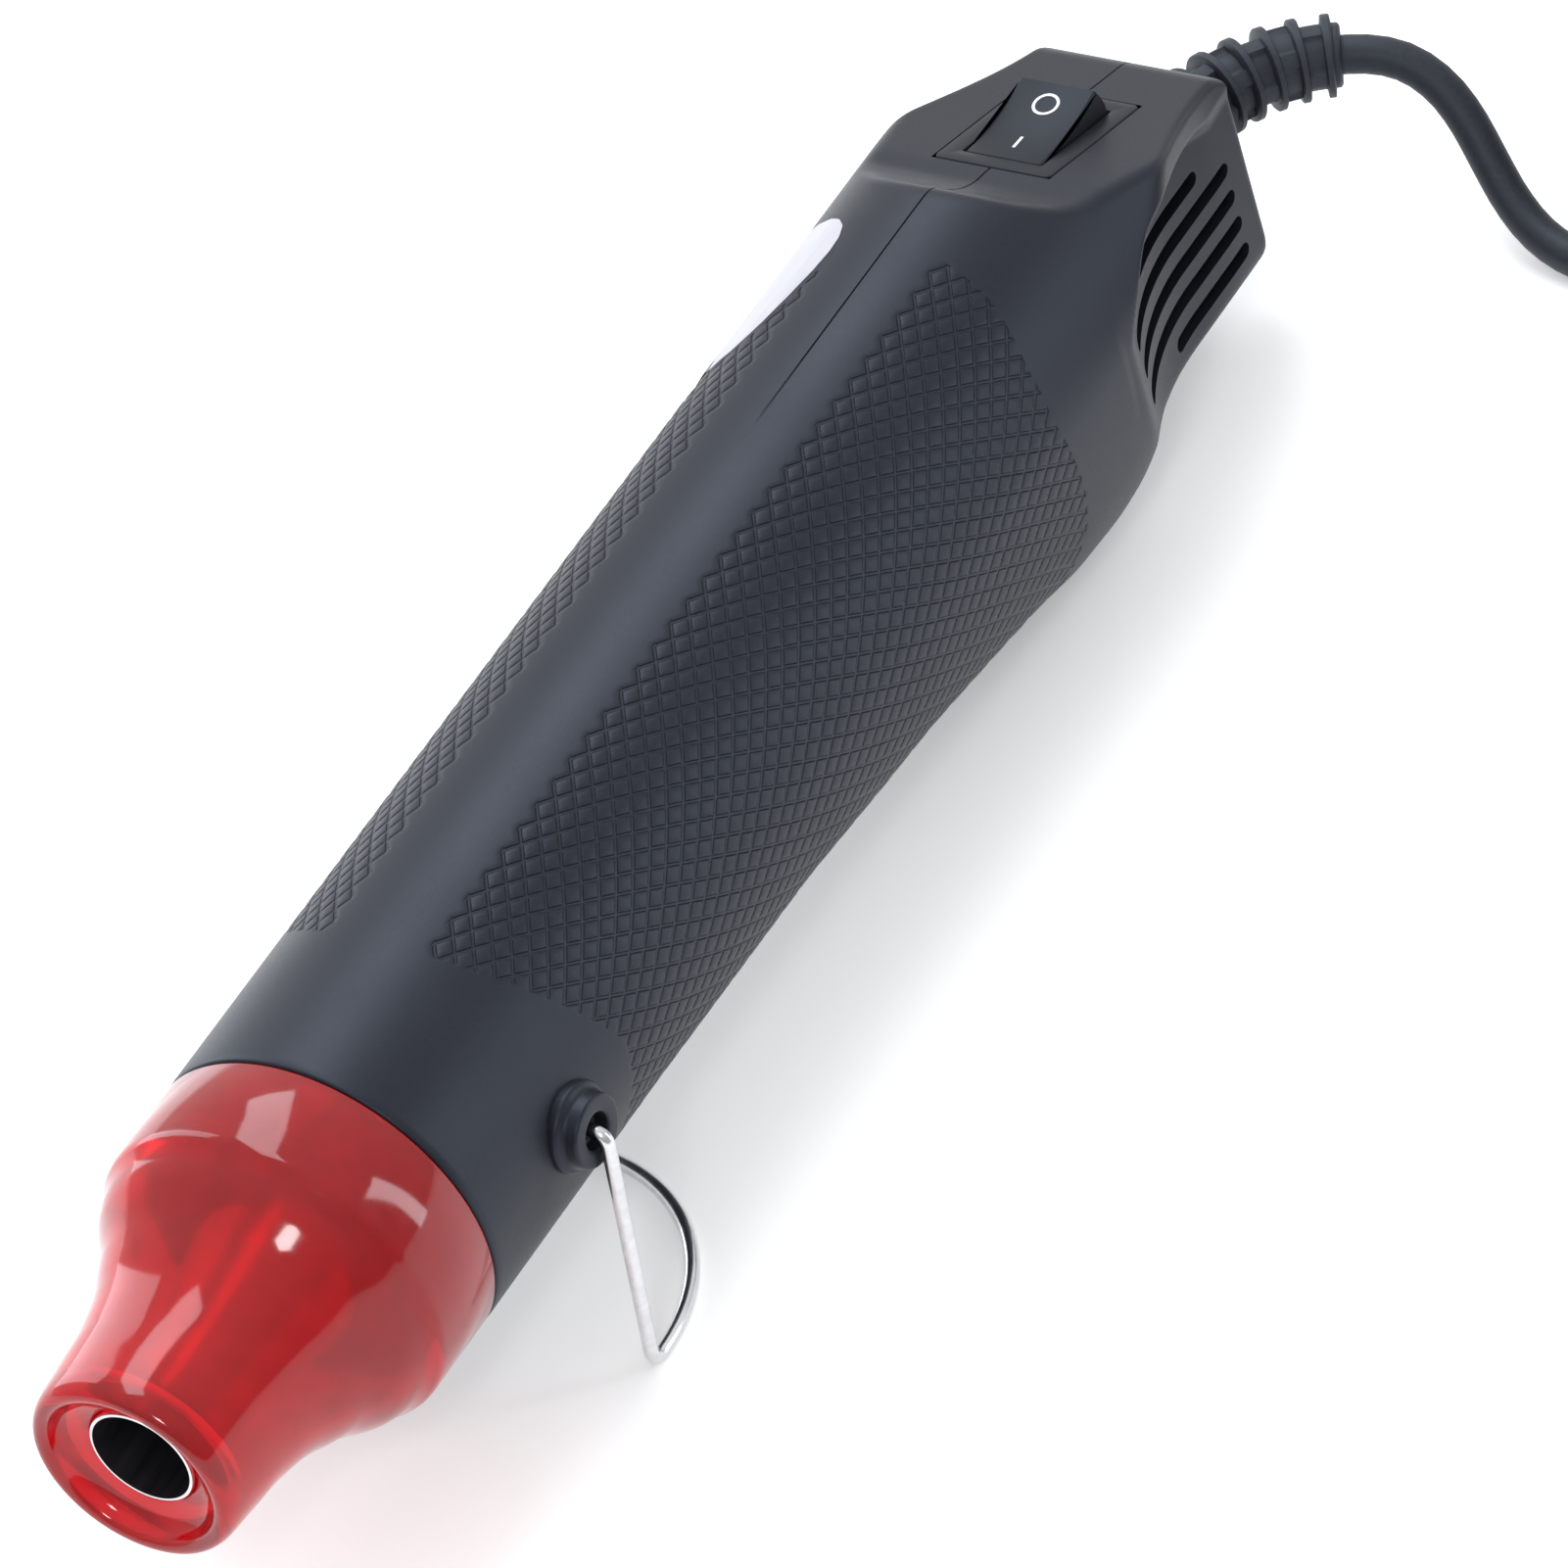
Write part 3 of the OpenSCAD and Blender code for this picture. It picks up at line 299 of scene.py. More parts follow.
def insideField(x, y, z, t):
    # Below zero inside the shape: round section, platform, sides, scoops, bottom corner and rear wall
    r = body["barrelR"] - t
    depth = tableAt(form["belly"], y, 2.5) - t
    power = 2 + 0.2 * np.clip((y - 100) / 60, 0, 1)
    lower = r * ((np.abs(x) / r) ** power + (np.abs(z) / depth) ** power) ** (1 / power)
    field = np.where(z >= 0, np.hypot(x, z), lower) - r
    k = form["edge"] if t == 0 else 0.3
    platform = (z - tableAt(form["platform"], y + t * 0.5, 0.9) + t) * 0.96
    field = smoothMax(field, np.where(y < 224, farInside, platform), k)
    tail = y > body["flare"] - 2
    field = smoothMax(field, np.where(tail, np.abs(x) - sideAt(y) + t, farInside), k)
    reach = body["scoopR"] + t
    plan = np.clip(body["scoopAlong"] - y, 0, reach - 0.001)
    scoopX = body["tailWidth"] / 2 + body["scoopR"] - np.sqrt(reach ** 2 - plan ** 2)
    across = np.where(body["scoopAlong"] - y < reach, np.abs(x) - scoopX, farInside)
    below = roofAt(y) + t - z
    scoop = -smoothMax(-across, -below, form["innerCorner"])
    scoop = np.where(y > body["flare"] - 8, scoop, across)
    scoop = np.where((y <= body["flare"]) & (y > body["flare"] - 8), np.minimum(across, -z + 0.3 + t), scoop)
    field = smoothMax(field, scoop, k)
    c = body["tailCorner"]
    corner = np.hypot(np.clip(y - body["length"] + c + t, 0, None),
                      np.clip(-z - body["tailDepth"] + c + t, 0, None)) - c
    field = smoothMax(field, np.where(y > 262, corner, farInside), k)
    return smoothMax(field, y - body["length"] + t, form["rearEdge"] if t == 0 else 0.3)


def halfSections(stations, t, columns, cap):
    # Rays from the middle of each section, halved 26 times to the surface, then spread by length and bend
    y = np.asarray(stations, float)[:, None]
    a = np.linspace(0, np.pi, 721)[None, :]
    roof = roofAt(y)
    top = tableAt(form["platform"], y, 0.9)
    lift = np.minimum(4, 0.5 * (top - roof)) * np.clip((y - body["flare"]) / 8, 0, 1)
    middle = np.where(y < body["flare"], 0, roof + lift)
    low = np.zeros((len(y), a.shape[1]))
    high = np.full_like(low, 70.0)
    for _ in range(26):
        mid = (low + high) / 2
        inside = insideField(mid * np.sin(a), y + 0 * a, middle + mid * np.cos(a), t) < 0
        low = np.where(inside, mid, low)
        high = np.where(inside, high, mid)
    reach = np.minimum(low, np.asarray(cap, float)[:, None])
    x, z = reach * np.sin(a), middle + reach * np.cos(a)
    rows = np.empty((len(y), columns, 3))
    for i in range(len(y)):
        dx, dz = np.diff(x[i]), np.diff(z[i])
        bend = np.abs(np.diff(np.unwrap(np.arctan2(dz, dx)), prepend=0))
        bend[0] = 0
        way = np.concatenate([[0], np.cumsum(np.hypot(dx, dz) + form["curveWeight"] * np.minimum(bend, 1))])
        want = np.linspace(0, way[-1], columns - 2)
        want = np.concatenate([[0, form["seamWidth"]], want[1:-1], [way[-1] - form["seamWidth"], way[-1]]])
        rows[i, :, 0], rows[i, :, 2] = np.interp(want, way, x[i]), np.interp(want, way, z[i])
        rows[i, :, 1] = y[i, 0]
    rows[:, 0, 0] = rows[:, -1, 0] = 0
    return rows


def knurlPhases(rows, side):
    # Two helical families of troughs, and how far inside the patch's edges a point is
    angle = np.degrees(np.arctan2(np.abs(rows[..., 0]), rows[..., 2]))
    y, s = rows[..., 1], np.radians(angle) * body["barrelR"]
    phases = [y / knurl["along"] + sign * s / knurl["across"] for sign in (1, -1)]
    front, rear = (tableAt(knurl[key], angle, 3.0) for key in ("front", "rear"))
    inside = np.minimum(np.minimum(y - front, rear - y), np.minimum(angle - knurl["strip"],
                                                                  180 - knurl["strip"] - angle) * 0.43)
    if side < 0:
        top = np.interp(y, *np.array(label["edge"]).T)
        around = np.maximum(np.maximum(label["start"] - 3 - y, y - label["start"] - label["length"] - 1.5),
                            np.maximum(top - 2 - angle, angle - label["to"] - 2) * 0.43)
        inside = np.minimum(inside, around)
    return phases[0], phases[1], inside


def knurlDepth(rows, side):
    # The deeper of the two families' troughs, zero outside the patch
    first, second, inside = knurlPhases(rows, side)
    spacing = 1 / math.hypot(1 / knurl["along"], 1 / knurl["across"])
    depth = 0
    for phase in (first, second):
        away = np.abs(phase - np.round(phase)) * spacing
        trough = np.clip(1 - away / knurl["width"], 0, 1)
        depth = np.maximum(depth, trough * trough * (3 - 2 * trough))
    return knurl["depth"] * depth * np.clip(inside / 0.4, 0, 1)


def storeKnurl(obj, side):
    # Phases and distance inside, kept on the vertices for the finish's fine troughs
    mesh = obj.data
    at = np.empty(len(mesh.vertices) * 3)
    mesh.vertices.foreach_get("co", at)
    at = at.reshape(-1, 3) / mm - [0.0, -middleAlong, body["axisHeight"]]
    values = np.stack(knurlPhases(at, side), 1)
    below = np.minimum(at[:, 2], 0) * body["barrelR"] / tableAt(form["belly"], at[:, 1], 2.5)
    fromAxis = np.hypot(at[:, 0], below + np.maximum(at[:, 2], 0))
    values[:, 2] = np.where(fromAxis > body["barrelR"] - 0.7, values[:, 2], -1)
    mesh.attributes.new("knurl", "FLOAT_VECTOR", "POINT").data.foreach_set("vector", values.ravel())


def housingHalf(name, side):
    # Outer sections with knurl and groove, inner ones a wall further in, joined at the parting face and ends
    ys = np.concatenate([form["front"], np.arange(56.5, 78, 1.5), np.arange(78, 217.5, 0.42),
                         np.arange(218.2, 277, 0.75), form["rear"]])
    cap = np.full(len(ys), 99.0)
    cap[:len(form["frontR"])] = form["frontR"]
    outer = halfSections(ys, 0.0, form["columns"], cap)
    radial = outer[..., [0, 2]] / np.maximum(np.hypot(outer[..., 0], outer[..., 2]), 1e-6)[..., None]
    outer[..., [0, 2]] -= radial * knurlDepth(outer, side)[..., None]
    groove = form["seam"] * np.clip((ys - form["seamStart"]) / form["seamGrow"], 0, 1)
    groove = groove * np.clip((body["length"] - 1 - ys) / 2, 0, 1)
    outer[:, 0, 2] -= groove
    outer[:, -1, 2] += groove
    innerYs = np.concatenate([form["innerFront"], np.arange(62, 226, 6.0), np.arange(227, 276, 1.5),
                              [form["innerRear"]]])
    innerCap = np.full(len(innerYs), 99.0)
    innerCap[:3] = form["neckBoreR"]
    inner = halfSections(innerYs, body["wall"], form["innerColumns"], innerCap)
    rows, columns, innerRows, innerColumns = len(ys), form["columns"], len(innerYs), form["innerColumns"]
    points = np.vstack([outer.reshape(-1, 3), inner.reshape(-1, 3)])
    points[:, 0] *= side
    start = rows * columns
    faces = gridFaces(rows, columns).tolist() + (gridFaces(innerRows, innerColumns)[:, ::-1] + start).tolist()
    lastOuter, lastInner = start - columns, start + (innerRows - 1) * innerColumns
    faces.append([*range(columns)][::-1] + [start + k for k in range(innerColumns)])
    faces.append([lastOuter + k for k in range(columns)])
    faces.append([lastInner + k for k in range(innerColumns)][::-1])
    loop = [i * columns for i in range(rows)] + [i * columns + columns - 1 for i in range(rows)][::-1]
    loop += [start + i * innerColumns + innerColumns - 1 for i in range(innerRows)]
    loop += [start + i * innerColumns for i in range(innerRows)][::-1]
    faces.append(loop[::-1])
    if side < 0:
        faces = [list(f)[::-1] for f in faces]
    obj = meshObject(name, place(points), faces)
    fixNormals(obj)
    return obj


def platformPoints(points):
    # From the switch's own frame, level on the platform, to the object's
    p = np.asarray(points, float)
    a = math.radians(-switch["fall"])
    return np.stack([p[:, 0], switch["along"] + p[:, 1] * math.cos(a) - p[:, 2] * math.sin(a),
                     switch["up"] + p[:, 1] * math.sin(a) + p[:, 2] * math.cos(a)], 1)


def boxPoints(low, high):
    # The eight corners between a low and a high one
    return [[x, y, z] for x in (low[0], high[0]) for y in (low[1], high[1]) for z in (low[2], high[2])]


boxFaces = [(0, 1, 3, 2), (4, 6, 7, 5), (0, 4, 5, 1), (2, 3, 7, 6), (0, 2, 6, 4), (1, 5, 7, 3)]


def prism(outline, axis, start, end):
    # Outline of [a, b] pairs pushed along one axis
    outline = np.asarray(outline, float)
    n = len(outline)
    points = []
    for level in (start, end):
        points.append(np.insert(outline, axis, level, axis=1))
    faces = [[k, (k + 1) % n, n + (k + 1) % n, n + k] for k in range(n)]
    return np.vstack(points), faces + [list(range(n))[::-1], [n + k for k in range(n)]]


def circleOutline(centre, r, count=40):
    # Points round a circle
    a = np.linspace(0, 2 * np.pi, count, endpoint=False)
    return np.stack([centre[0] + r * np.cos(a), centre[1] + r * np.sin(a)], 1)


def cutHousing(halves):
    # Switch opening, air slots, cord hole and screw pockets
    parts = []
    w, l = switch["frameWidth"] / 2 + switch["frameGap"], switch["frameLength"] / 2 + switch["frameGap"]
    parts.append((platformPoints(boxPoints((-w, -l, -1.2), (w, l, 9))), boxFaces))
    w, l = switch["bodyWidth"] / 2 + switch["bodyGap"], switch["bodyLength"] / 2 + switch["bodyGap"]
    parts.append((platformPoints(boxPoints((-w, -l, -9.2), (w, l, -0.6))), boxFaces))
    for k, (front, rear) in enumerate(slots["ends"]):
        z, r = slots["top"] - k * slots["pitch"], slots["width"] / 2
        a = np.linspace(-np.pi / 2, np.pi / 2, 12)
        rearEnd = np.stack([rear + r * np.cos(a), z + r * np.sin(a)], 1)
        frontEnd = np.stack([front - r * np.cos(a), z - r * np.sin(a)], 1)
        parts.append(prism(np.vstack([rearEnd, frontEnd]), 0, -slots["depth"], slots["depth"]))
    hole = circleOutline((0, cord["exitUp"]), cord["holeR"])
    parts.append(prism(hole, 1, body["length"] - 4, body["length"] + 2))
    for y, z, end in screws["places"]:
        parts.append(prism(circleOutline((y, z), screws["pocket"]), 0, -40, -end + 1))
    cutters = []  # three groups, because parts of one cutter must not overlap
    for group in (parts[:1], parts[1:-len(screws["places"])], parts[-len(screws["places"]):]):
        points, faces, count = [], [], 0
        for p, f in group:
            points.append(p)
            faces += [[v + count for v in face] for face in f]
            count += len(p)
        cutter = meshObject("cutter", place(np.vstack(points)), faces, smooth=False)
        fixNormals(cutter)
        cutters.append(cutter)
    for half in halves:
        for cutter in cutters:
            cut = half.modifiers.new("cut", "BOOLEAN")
            cut.operation = "DIFFERENCE"
            cut.solver = "EXACT"
            cut.object = cutter
        with bpy.context.temp_override(object=half, active_object=half):
            while half.modifiers:
                bpy.ops.object.modifier_apply(modifier=half.modifiers[0].name)
        half.data.set_sharp_from_angle(angle=math.radians(38))
    for cutter in cutters:
        bpy.data.objects.remove(cutter)


rightHalf = housingHalf("rightHalf", 1)
leftHalf = housingHalf("leftHalf", -1)
print("skins made", len(rightHalf.data.polygons))
cutHousing([rightHalf, leftHalf])
storeKnurl(rightHalf, 1)
storeKnurl(leftHalf, -1)
for half, node in ((rightHalf, "housing_right"), (leftHalf, "housing_left")):
    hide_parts(node)
print("housing made", len(rightHalf.data.polygons), len(leftHalf.data.polygons))


def lathe(name, profile, axis="along", centre=(0.0, 0.0, 0.0), sides=96, bodyName="root", mirror=1):
    # Closed profile of [distance along, radius] turned about the axis
    profile = np.asarray(profile, float)
    a = np.linspace(0, 2 * np.pi, sides, endpoint=False)
    d = np.repeat(profile[:, :1], sides, 1)
    p, q = profile[:, 1:] * np.cos(a), profile[:, 1:] * np.sin(a)
    grid = np.stack([p, d, q], -1) if axis == "along" else np.stack([mirror * d, p, q], -1)
    faces = gridFaces(len(profile), sides, wrapColumns=True, wrapRows=True)
    obj = meshObject(name, place(grid.reshape(-1, 3) + centre), faces.tolist(), bodyName=bodyName)
    fixNormals(obj)
    obj.data.set_sharp_from_angle(angle=math.radians(40))
    return obj


def softProfile(points, r=0.4, steps=5):
    # Corners of a closed profile rounded with short curves through each corner
    p = np.asarray(points, float)
    out = []
    for k in range(len(p)):
        a, b, c = p[k - 1], p[k], p[(k + 1) % len(p)]
        ra = min(r, np.linalg.norm(b - a) * 0.45)
        rc = min(r, np.linalg.norm(c - b) * 0.45)
        start, end = b + (a - b) / np.linalg.norm(a - b) * ra, b + (c - b) / np.linalg.norm(c - b) * rc
        for t in np.linspace(0, 1, steps):
            out.append((1 - t) ** 2 * start + 2 * t * (1 - t) * b + t * t * end)
    return np.array(out)


# Screw pockets inside the left half
for number, (y, z, end) in enumerate(screws["places"]):
    r, w = screws["pocket"], screws["wall"]
    low, high = end - screws["floor"], end + screws["lip"]
    profile = [(low, 0.01), (low, r + w), (high, r + w), (high, r), (end - 3, r), (end - 3, 0.01)]
    pocket = lathe("screwPocket" + str(number + 1), profile, "across", (0, y, z), 40, mirror=-1)
    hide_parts("housing_left")

# Bosses for the stand, with a collar and a counterbore
stand = {"along": 77.0, "wireR": 1.0, "lean": 8.0, "legAcross": 29.5, "bend": 2.0, "footUp": -37.0,
         "pinEnd": 20.5,
         "boss": ((19.2, 4.9), (23.2, 5.2), (23.6, 6.2), (25.7, 6.2), (26.3, 5.2), (28.3, 5.0), (28.3, 2.6),
                  (26.0, 2.4), (26.0, 1.12), (19.2, 1.12))}
for side, node in ((1, "housing_right"), (-1, "housing_left")):
    boss = lathe("standBoss" + ("Right" if side > 0 else "Left"), softProfile(stand["boss"], 0.5, 6),
                 "across", (0, stand["along"], 0), 64, mirror=side)
    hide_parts(node)


def standPath():
    # Pin, bend, leg, second bend and half-round foot, first on one side and then mirrored
    lean, r = math.radians(stand["lean"]), stand["bend"]
    leg = (-stand["footUp"] - r * (1 - math.sin(lean))) / math.cos(lean)
    footAlong = stand["along"] - leg * math.sin(lean) + r * math.cos(lean)
    x = stand["legAcross"]
    upper = [(stand["pinEnd"], 0, 0), (x - r - 3, 0, 0)]
    upper += [(x - r + r * math.sin(a), 0, -r + r * math.cos(a)) for a in np.linspace(0, np.pi / 2, 9)]
    upper += [(x, 0, -d) for d in np.linspace(4, leg - 2.6, 14)]
    side = [(px, stand["along"] + pz * math.sin(lean), pz * math.cos(lean)) for px, _, pz in upper]
    for a in np.radians(np.linspace(180 - stand["lean"], 270, 11)):
        side.append((x, footAlong + r * math.cos(a), stand["footUp"] + r + r * math.sin(a)))
    half = [(x * math.cos(a), footAlong + x * math.sin(a), stand["footUp"])
            for a in np.linspace(0, np.pi, 72)[1:-1]]
    other = [(-p[0], p[1], p[2]) for p in side][::-1]
    return np.array(side + half + other)


standWire = tubeMesh("standWire", evenPath(standPath(), 0.55), stand["wireR"], sides=20, bodyName="stand")
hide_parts("stand")

# Guard and steel outlet: outside first, then back along the inside, as [distance along, radius]
guard = {"outer": ((5.5, 13.1), (5.6, 13.6), (5.9, 14.05), (6.4, 14.4), (7.2, 14.72), (8.6, 14.92),
                   (11.0, 15.08), (13.4, 15.3), (17.5, 15.5), (20.0, 15.9), (22.5, 16.35), (25.0, 16.95),
                   (27.0, 17.7), (29.0, 18.65), (31.2, 19.4), (33.5, 20.75), (35.5, 22.2), (36.9, 23.0),
                   (38.4, 23.55), (39.8, 24.0), (40.6, 24.55), (41.3, 24.9), (42.2, 25.0), (46.0, 25.0),
                   (54.4, 25.0), (54.9, 24.7)),
         "inner": ((54.9, 23.05), (44.0, 23.0), (41.0, 21.6), (37.4, 20.9), (34.8, 19.0), (31.6, 17.2),
                   (28.0, 15.9), (24.8, 14.5), (13.0, 12.9), (11.2, 12.5), (10.9, 12.0), (10.9, 9.1),
                   (13.3, 9.1), (13.3, 7.9), (9.3, 7.9), (9.15, 8.1), (9.0, 8.6),
                   (8.5, 10.0), (7.9, 11.1), (7.1, 11.7), (6.3, 11.95), (5.85, 12.2), (5.6, 12.6))}
# The last entry is the radius inside which the bore's inward faces get painted shade
tube = {"profile": ((8.7, 7.3), (8.75, 7.5), (8.95, 7.6), (24.0, 7.6), (25.0, 7.75), (45.2, 12.8),
                    (46.4, 13.0), (100.0, 13.0), (100.0, 12.4), (46.6, 12.4), (24.6, 7.2), (23.4, 7.0),
                    (8.95, 7.0), (8.75, 7.1)), "paintedShadeRadius": 7.05}
guardShell = lathe("guardShell", guard["outer"] + guard["inner"], sides=144)
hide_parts("nozzle_guard")
outletTube = lathe("outletTube", tube["profile"], sides=128)
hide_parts("heater_tube")
print("lathes made")


# Switch: frame with a cavity, rocker and its marks

def roundedRectangle(halfWidth, halfLength, r, steps=8):
    # Four quarter circles of the corner radius
    points = []
    for cx, cy, start in ((1, 1, 0), (-1, 1, 90), (-1, -1, 180), (1, -1, 270)):
        for a in np.radians(np.linspace(start, start + 90, steps)):
            points.append((cx * (halfWidth - r) + r * math.cos(a), cy * (halfLength - r) + r * math.sin(a)))
    return np.array(points)


def loopStack(name, loops, change, bodyName="root"):
    # Loops of equal length joined one to the next, closed at both ends
    n = len(loops[0])
    faces = gridFaces(len(loops), n, wrapColumns=True).tolist()
    faces += [list(range(n))[::-1], [(len(loops) - 1) * n + k for k in range(n)]]
    obj = meshObject(name, place(change(np.vstack(loops))), faces, bodyName=bodyName)
    fixNormals(obj)
    obj.data.set_sharp_from_angle(angle=math.radians(35))
    return obj


frameLoops = [np.column_stack([roundedRectangle(w, l, r), np.full(32, z)])
              for w, l, r, z in switch["frameSteps"]]
switchFrame = loopStack("switchFrame", frameLoops, platformPoints)
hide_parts("switch_body")


def rockerPoints(points):
    # The rocker's own frame is tilted about its pin, below the platform
    p = np.asarray(points, float)
    a = math.radians(switch["tilt"])
    turned = np.stack([p[:, 0], p[:, 1] * math.cos(a) - p[:, 2] * math.sin(a),
                       p[:, 1] * math.sin(a) + p[:, 2] * math.cos(a) - switch["pivotDrop"]], 1)
    return platformPoints(turned)


def rockerTop(y):
    # Height of the hollow top: a circle's arc, lowest in the middle
    r = switch["hollowR"]
    return switch["rockerHeight"] - switch["hollowDrop"] + r - np.sqrt(r ** 2 - y * y)


def rockerOutline(inset):
    # Bottom, round ends and hollow top, moved inwards by the inset
    r = math.hypot(switch["rockerLength"] / 2, switch["rockerHeight"])
    ends = np.linspace(-math.asin(3 / r), math.asin(switch["rockerHeight"] / r), 14)
    right = [(r * math.cos(a), r * math.sin(a)) for a in ends]
    topEnd = switch["rockerLength"] / 2 - 0.15
    top = [(y, rockerTop(y)) for y in np.linspace(topEnd, -topEnd, 30)]
    left = [(-y, z) for y, z in right[::-1]]
    p = softProfile(right + top + left, 0.35, 4)
    edge = np.roll(p, -1, 0) - np.roll(p, 1, 0)
    normal = np.stack([edge[:, 1], -edge[:, 0]], 1) / np.maximum(np.linalg.norm(edge, axis=1), 1e-9)[:, None]
    return p - normal * inset


def rockerLoops():
    # The outline from one side to the other, smaller near both sides so that they are rounded
    w = switch["rockerWidth"] / 2
    levels = [(-w, 0.45), (-w + 0.08, 0.22), (-w + 0.25, 0.08), (-w + 0.5, 0), (w - 0.5, 0), (w - 0.25, 0.08),
              (w - 0.08, 0.22), (w, 0.45)]
    return [np.column_stack([np.full(len(rockerOutline(i)), x), rockerOutline(i)]) for x, i in levels]


rockerKey = loopStack("rockerKey", rockerLoops(), rockerPoints, bodyName="rocker")
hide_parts("switch_rocker")

marks = {"ringR": 1.75, "stroke": 0.42, "ringAlong": 4.1, "barLength": 2.5, "barAlong": -3.9, "lift": 0.04}


def ringMark():
    # A flat ring laid on the hollow top
    a = np.linspace(0, 2 * np.pi, 48, endpoint=False)
    loops = []
    for r, up in ((-1, -0.2), (1, -0.2), (1, marks["lift"]), (-1, marks["lift"])):
        reach = marks["ringR"] + r * marks["stroke"] / 2
        y = marks["ringAlong"] + reach * np.sin(a)
        loops.append(np.stack([reach * np.cos(a), y, rockerTop(y) + up], 1))
    faces = gridFaces(4, 48, wrapColumns=True, wrapRows=True).tolist()
    return np.vstack(loops), faces


def barMark():
    # A short bar along the rocker, in five lengths so that it follows the hollow
    y = marks["barAlong"] + np.linspace(-0.5, 0.5, 6) * marks["barLength"]
    rows = []
    for x, up in ((-1, -0.2), (1, -0.2), (1, marks["lift"]), (-1, marks["lift"])):
        rows.append(np.stack([np.full(6, x * marks["stroke"] / 2), y, rockerTop(y) + up], 1))
    faces = gridFaces(4, 6, wrapRows=True).tolist()
    return np.vstack(rows), faces + [[0, 6, 12, 18], [23, 17, 11, 5]]


rockerMarks = []
for name, (points, faces) in (("ringMark", ringMark()), ("barMark", barMark())):
    mark = meshObject(name, place(rockerPoints(points)), faces, smooth=False, bodyName="rocker")
    fixNormals(mark)
    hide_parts("switch_rocker")
    rockerMarks.append(mark)
print("switch made")


def labelSheet():
    # Thin curved plate on the barrel's left side: rows from its curved upper edge down to its lower one
    rows, columns = label["rows"], label["columns"]
    y = np.linspace(label["edge"][0][0], label["edge"][-1][0], rows)
    top, low = (np.interp(y, *np.array(label[key]).T) for key in ("edge", "lower"))
    share = np.linspace(0, 1, columns)[None, :]
    angle = np.radians(top[:, None] + (low - top)[:, None] * share)
    count = rows * columns
    levels = []
    for r in (label["outerR"], label["innerR"]):
        level = np.stack([-r * np.sin(angle), y[:, None] + 0 * angle, r * np.cos(angle)], -1)
        levels.append(level.reshape(-1, 3))
    upper = gridFaces(rows, columns)
    faces = upper.tolist() + (upper[:, ::-1] + count).tolist()
    rim = list(range(columns)) + [i * columns + columns - 1 for i in range(1, rows)]
    rim += [count - 2 - k for k in range(columns - 1)] + [i * columns for i in range(rows - 2, 0, -1)]
    for a, b in zip(rim, rim[1:] + rim[:1]):
        faces.append([b, a, a + count, b + count])
    return np.vstack(levels), faces


labelPoints, labelFaces = labelSheet()
blankLabel = meshObject("blankLabel", place(labelPoints), labelFaces)
fixNormals(blankLabel)
blankLabel.data.set_sharp_from_angle(angle=math.radians(40))
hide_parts("rating_label")


# Strain relief: rings, webs and a sleeve along the bend

relief = {"rings": 7, "first": 3.6, "pitch": 4.2, "ringR": 6.45, "taper": 0.1, "ringWidth": 1.5,
          "sleeveR": 4.55, "webWidth": 3.2, "webDrop": 0.75, "flangeR": 5.85, "flangeLength": 2.2,
          "plugR": 4.6, "length": 30.6, "sides": 96}


def reliefRadius(s, a):
    # Height of the sleeve, the flange, each ring and the webs between rings
    r = np.full(np.broadcast(s, a).shape, relief["sleeveR"])
    r = np.maximum(r, np.where(s < relief["flangeLength"], relief["flangeR"], 0))
    for k in range(relief["rings"]):
        top = relief["ringR"] - k * relief["taper"]
        away = np.abs(s - relief["first"] - k * relief["pitch"])
        shape = np.clip((relief["ringWidth"] / 2 - away) / 0.28, 0, 1)
        r = np.maximum(r, relief["sleeveR"] + (top - relief["sleeveR"]) * np.sqrt(1 - (1 - shape) ** 2))
        if k:
            gap = relief["first"] + (k - 0.5) * relief["pitch"]
            turn = math.radians(45 * (k % 2))
            around = np.abs((a - turn + np.pi / 4) % (np.pi / 2) - np.pi / 4) * 5.6
            web = np.clip((relief["webWidth"] / 2 - around) / 0.5, 0, 1)
            web = web * (np.abs(s - gap) < relief["pitch"] / 2)
            rise = top - relief["webDrop"] - relief["sleeveR"]
            r = np.maximum(r, relief["sleeveR"] + rise * web * web * (3 - 2 * web))
    return r


def reliefMesh():
    # Rings of the relief's radius carried along its bend, the first few inside the rear wall's hole
    s = np.concatenate([np.linspace(-2.2, 0, 6), np.arange(0.15, relief["length"], 0.15)])
    a = np.linspace(0, 2 * np.pi, relief["sides"], endpoint=False)
    centres = np.array([reliefPoint(v) if v >= 0 else [0, body["length"] + v, cord["exitUp"]] for v in s])
    _, u, v = pathFrames(centres)
    r = reliefRadius(s[:, None], a[None, :])
    r[:6] = relief["plugR"]
    end = np.clip((relief["length"] - s) / 0.5, 0, 1)[:, None]
    r = cordR + 0.1 + (r - cordR - 0.1) * np.sqrt(1 - (1 - end) ** 2 * 0.5)
    grid = np.cos(a)[None, :, None] * u[:, None] + np.sin(a)[None, :, None] * v[:, None]
    grid = centres[:, None] + r[..., None] * grid
    faces = gridFaces(len(s), len(a), wrapColumns=True).tolist()
    n = len(a)
    faces += [list(range(n)), [(len(s) - 1) * n + k for k in range(n)][::-1]]
    obj = meshObject("reliefBoot", place(grid.reshape(-1, 3)), faces)
    fixNormals(obj)
    obj.data.set_sharp_from_angle(angle=math.radians(50))
    return obj


reliefBoot = reliefMesh()
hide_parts("strain_relief")
print("strain relief made")


# Materials

def tone(value):
    # A colour with full cover added
    return (value[0], value[1], value[2], 1.0)


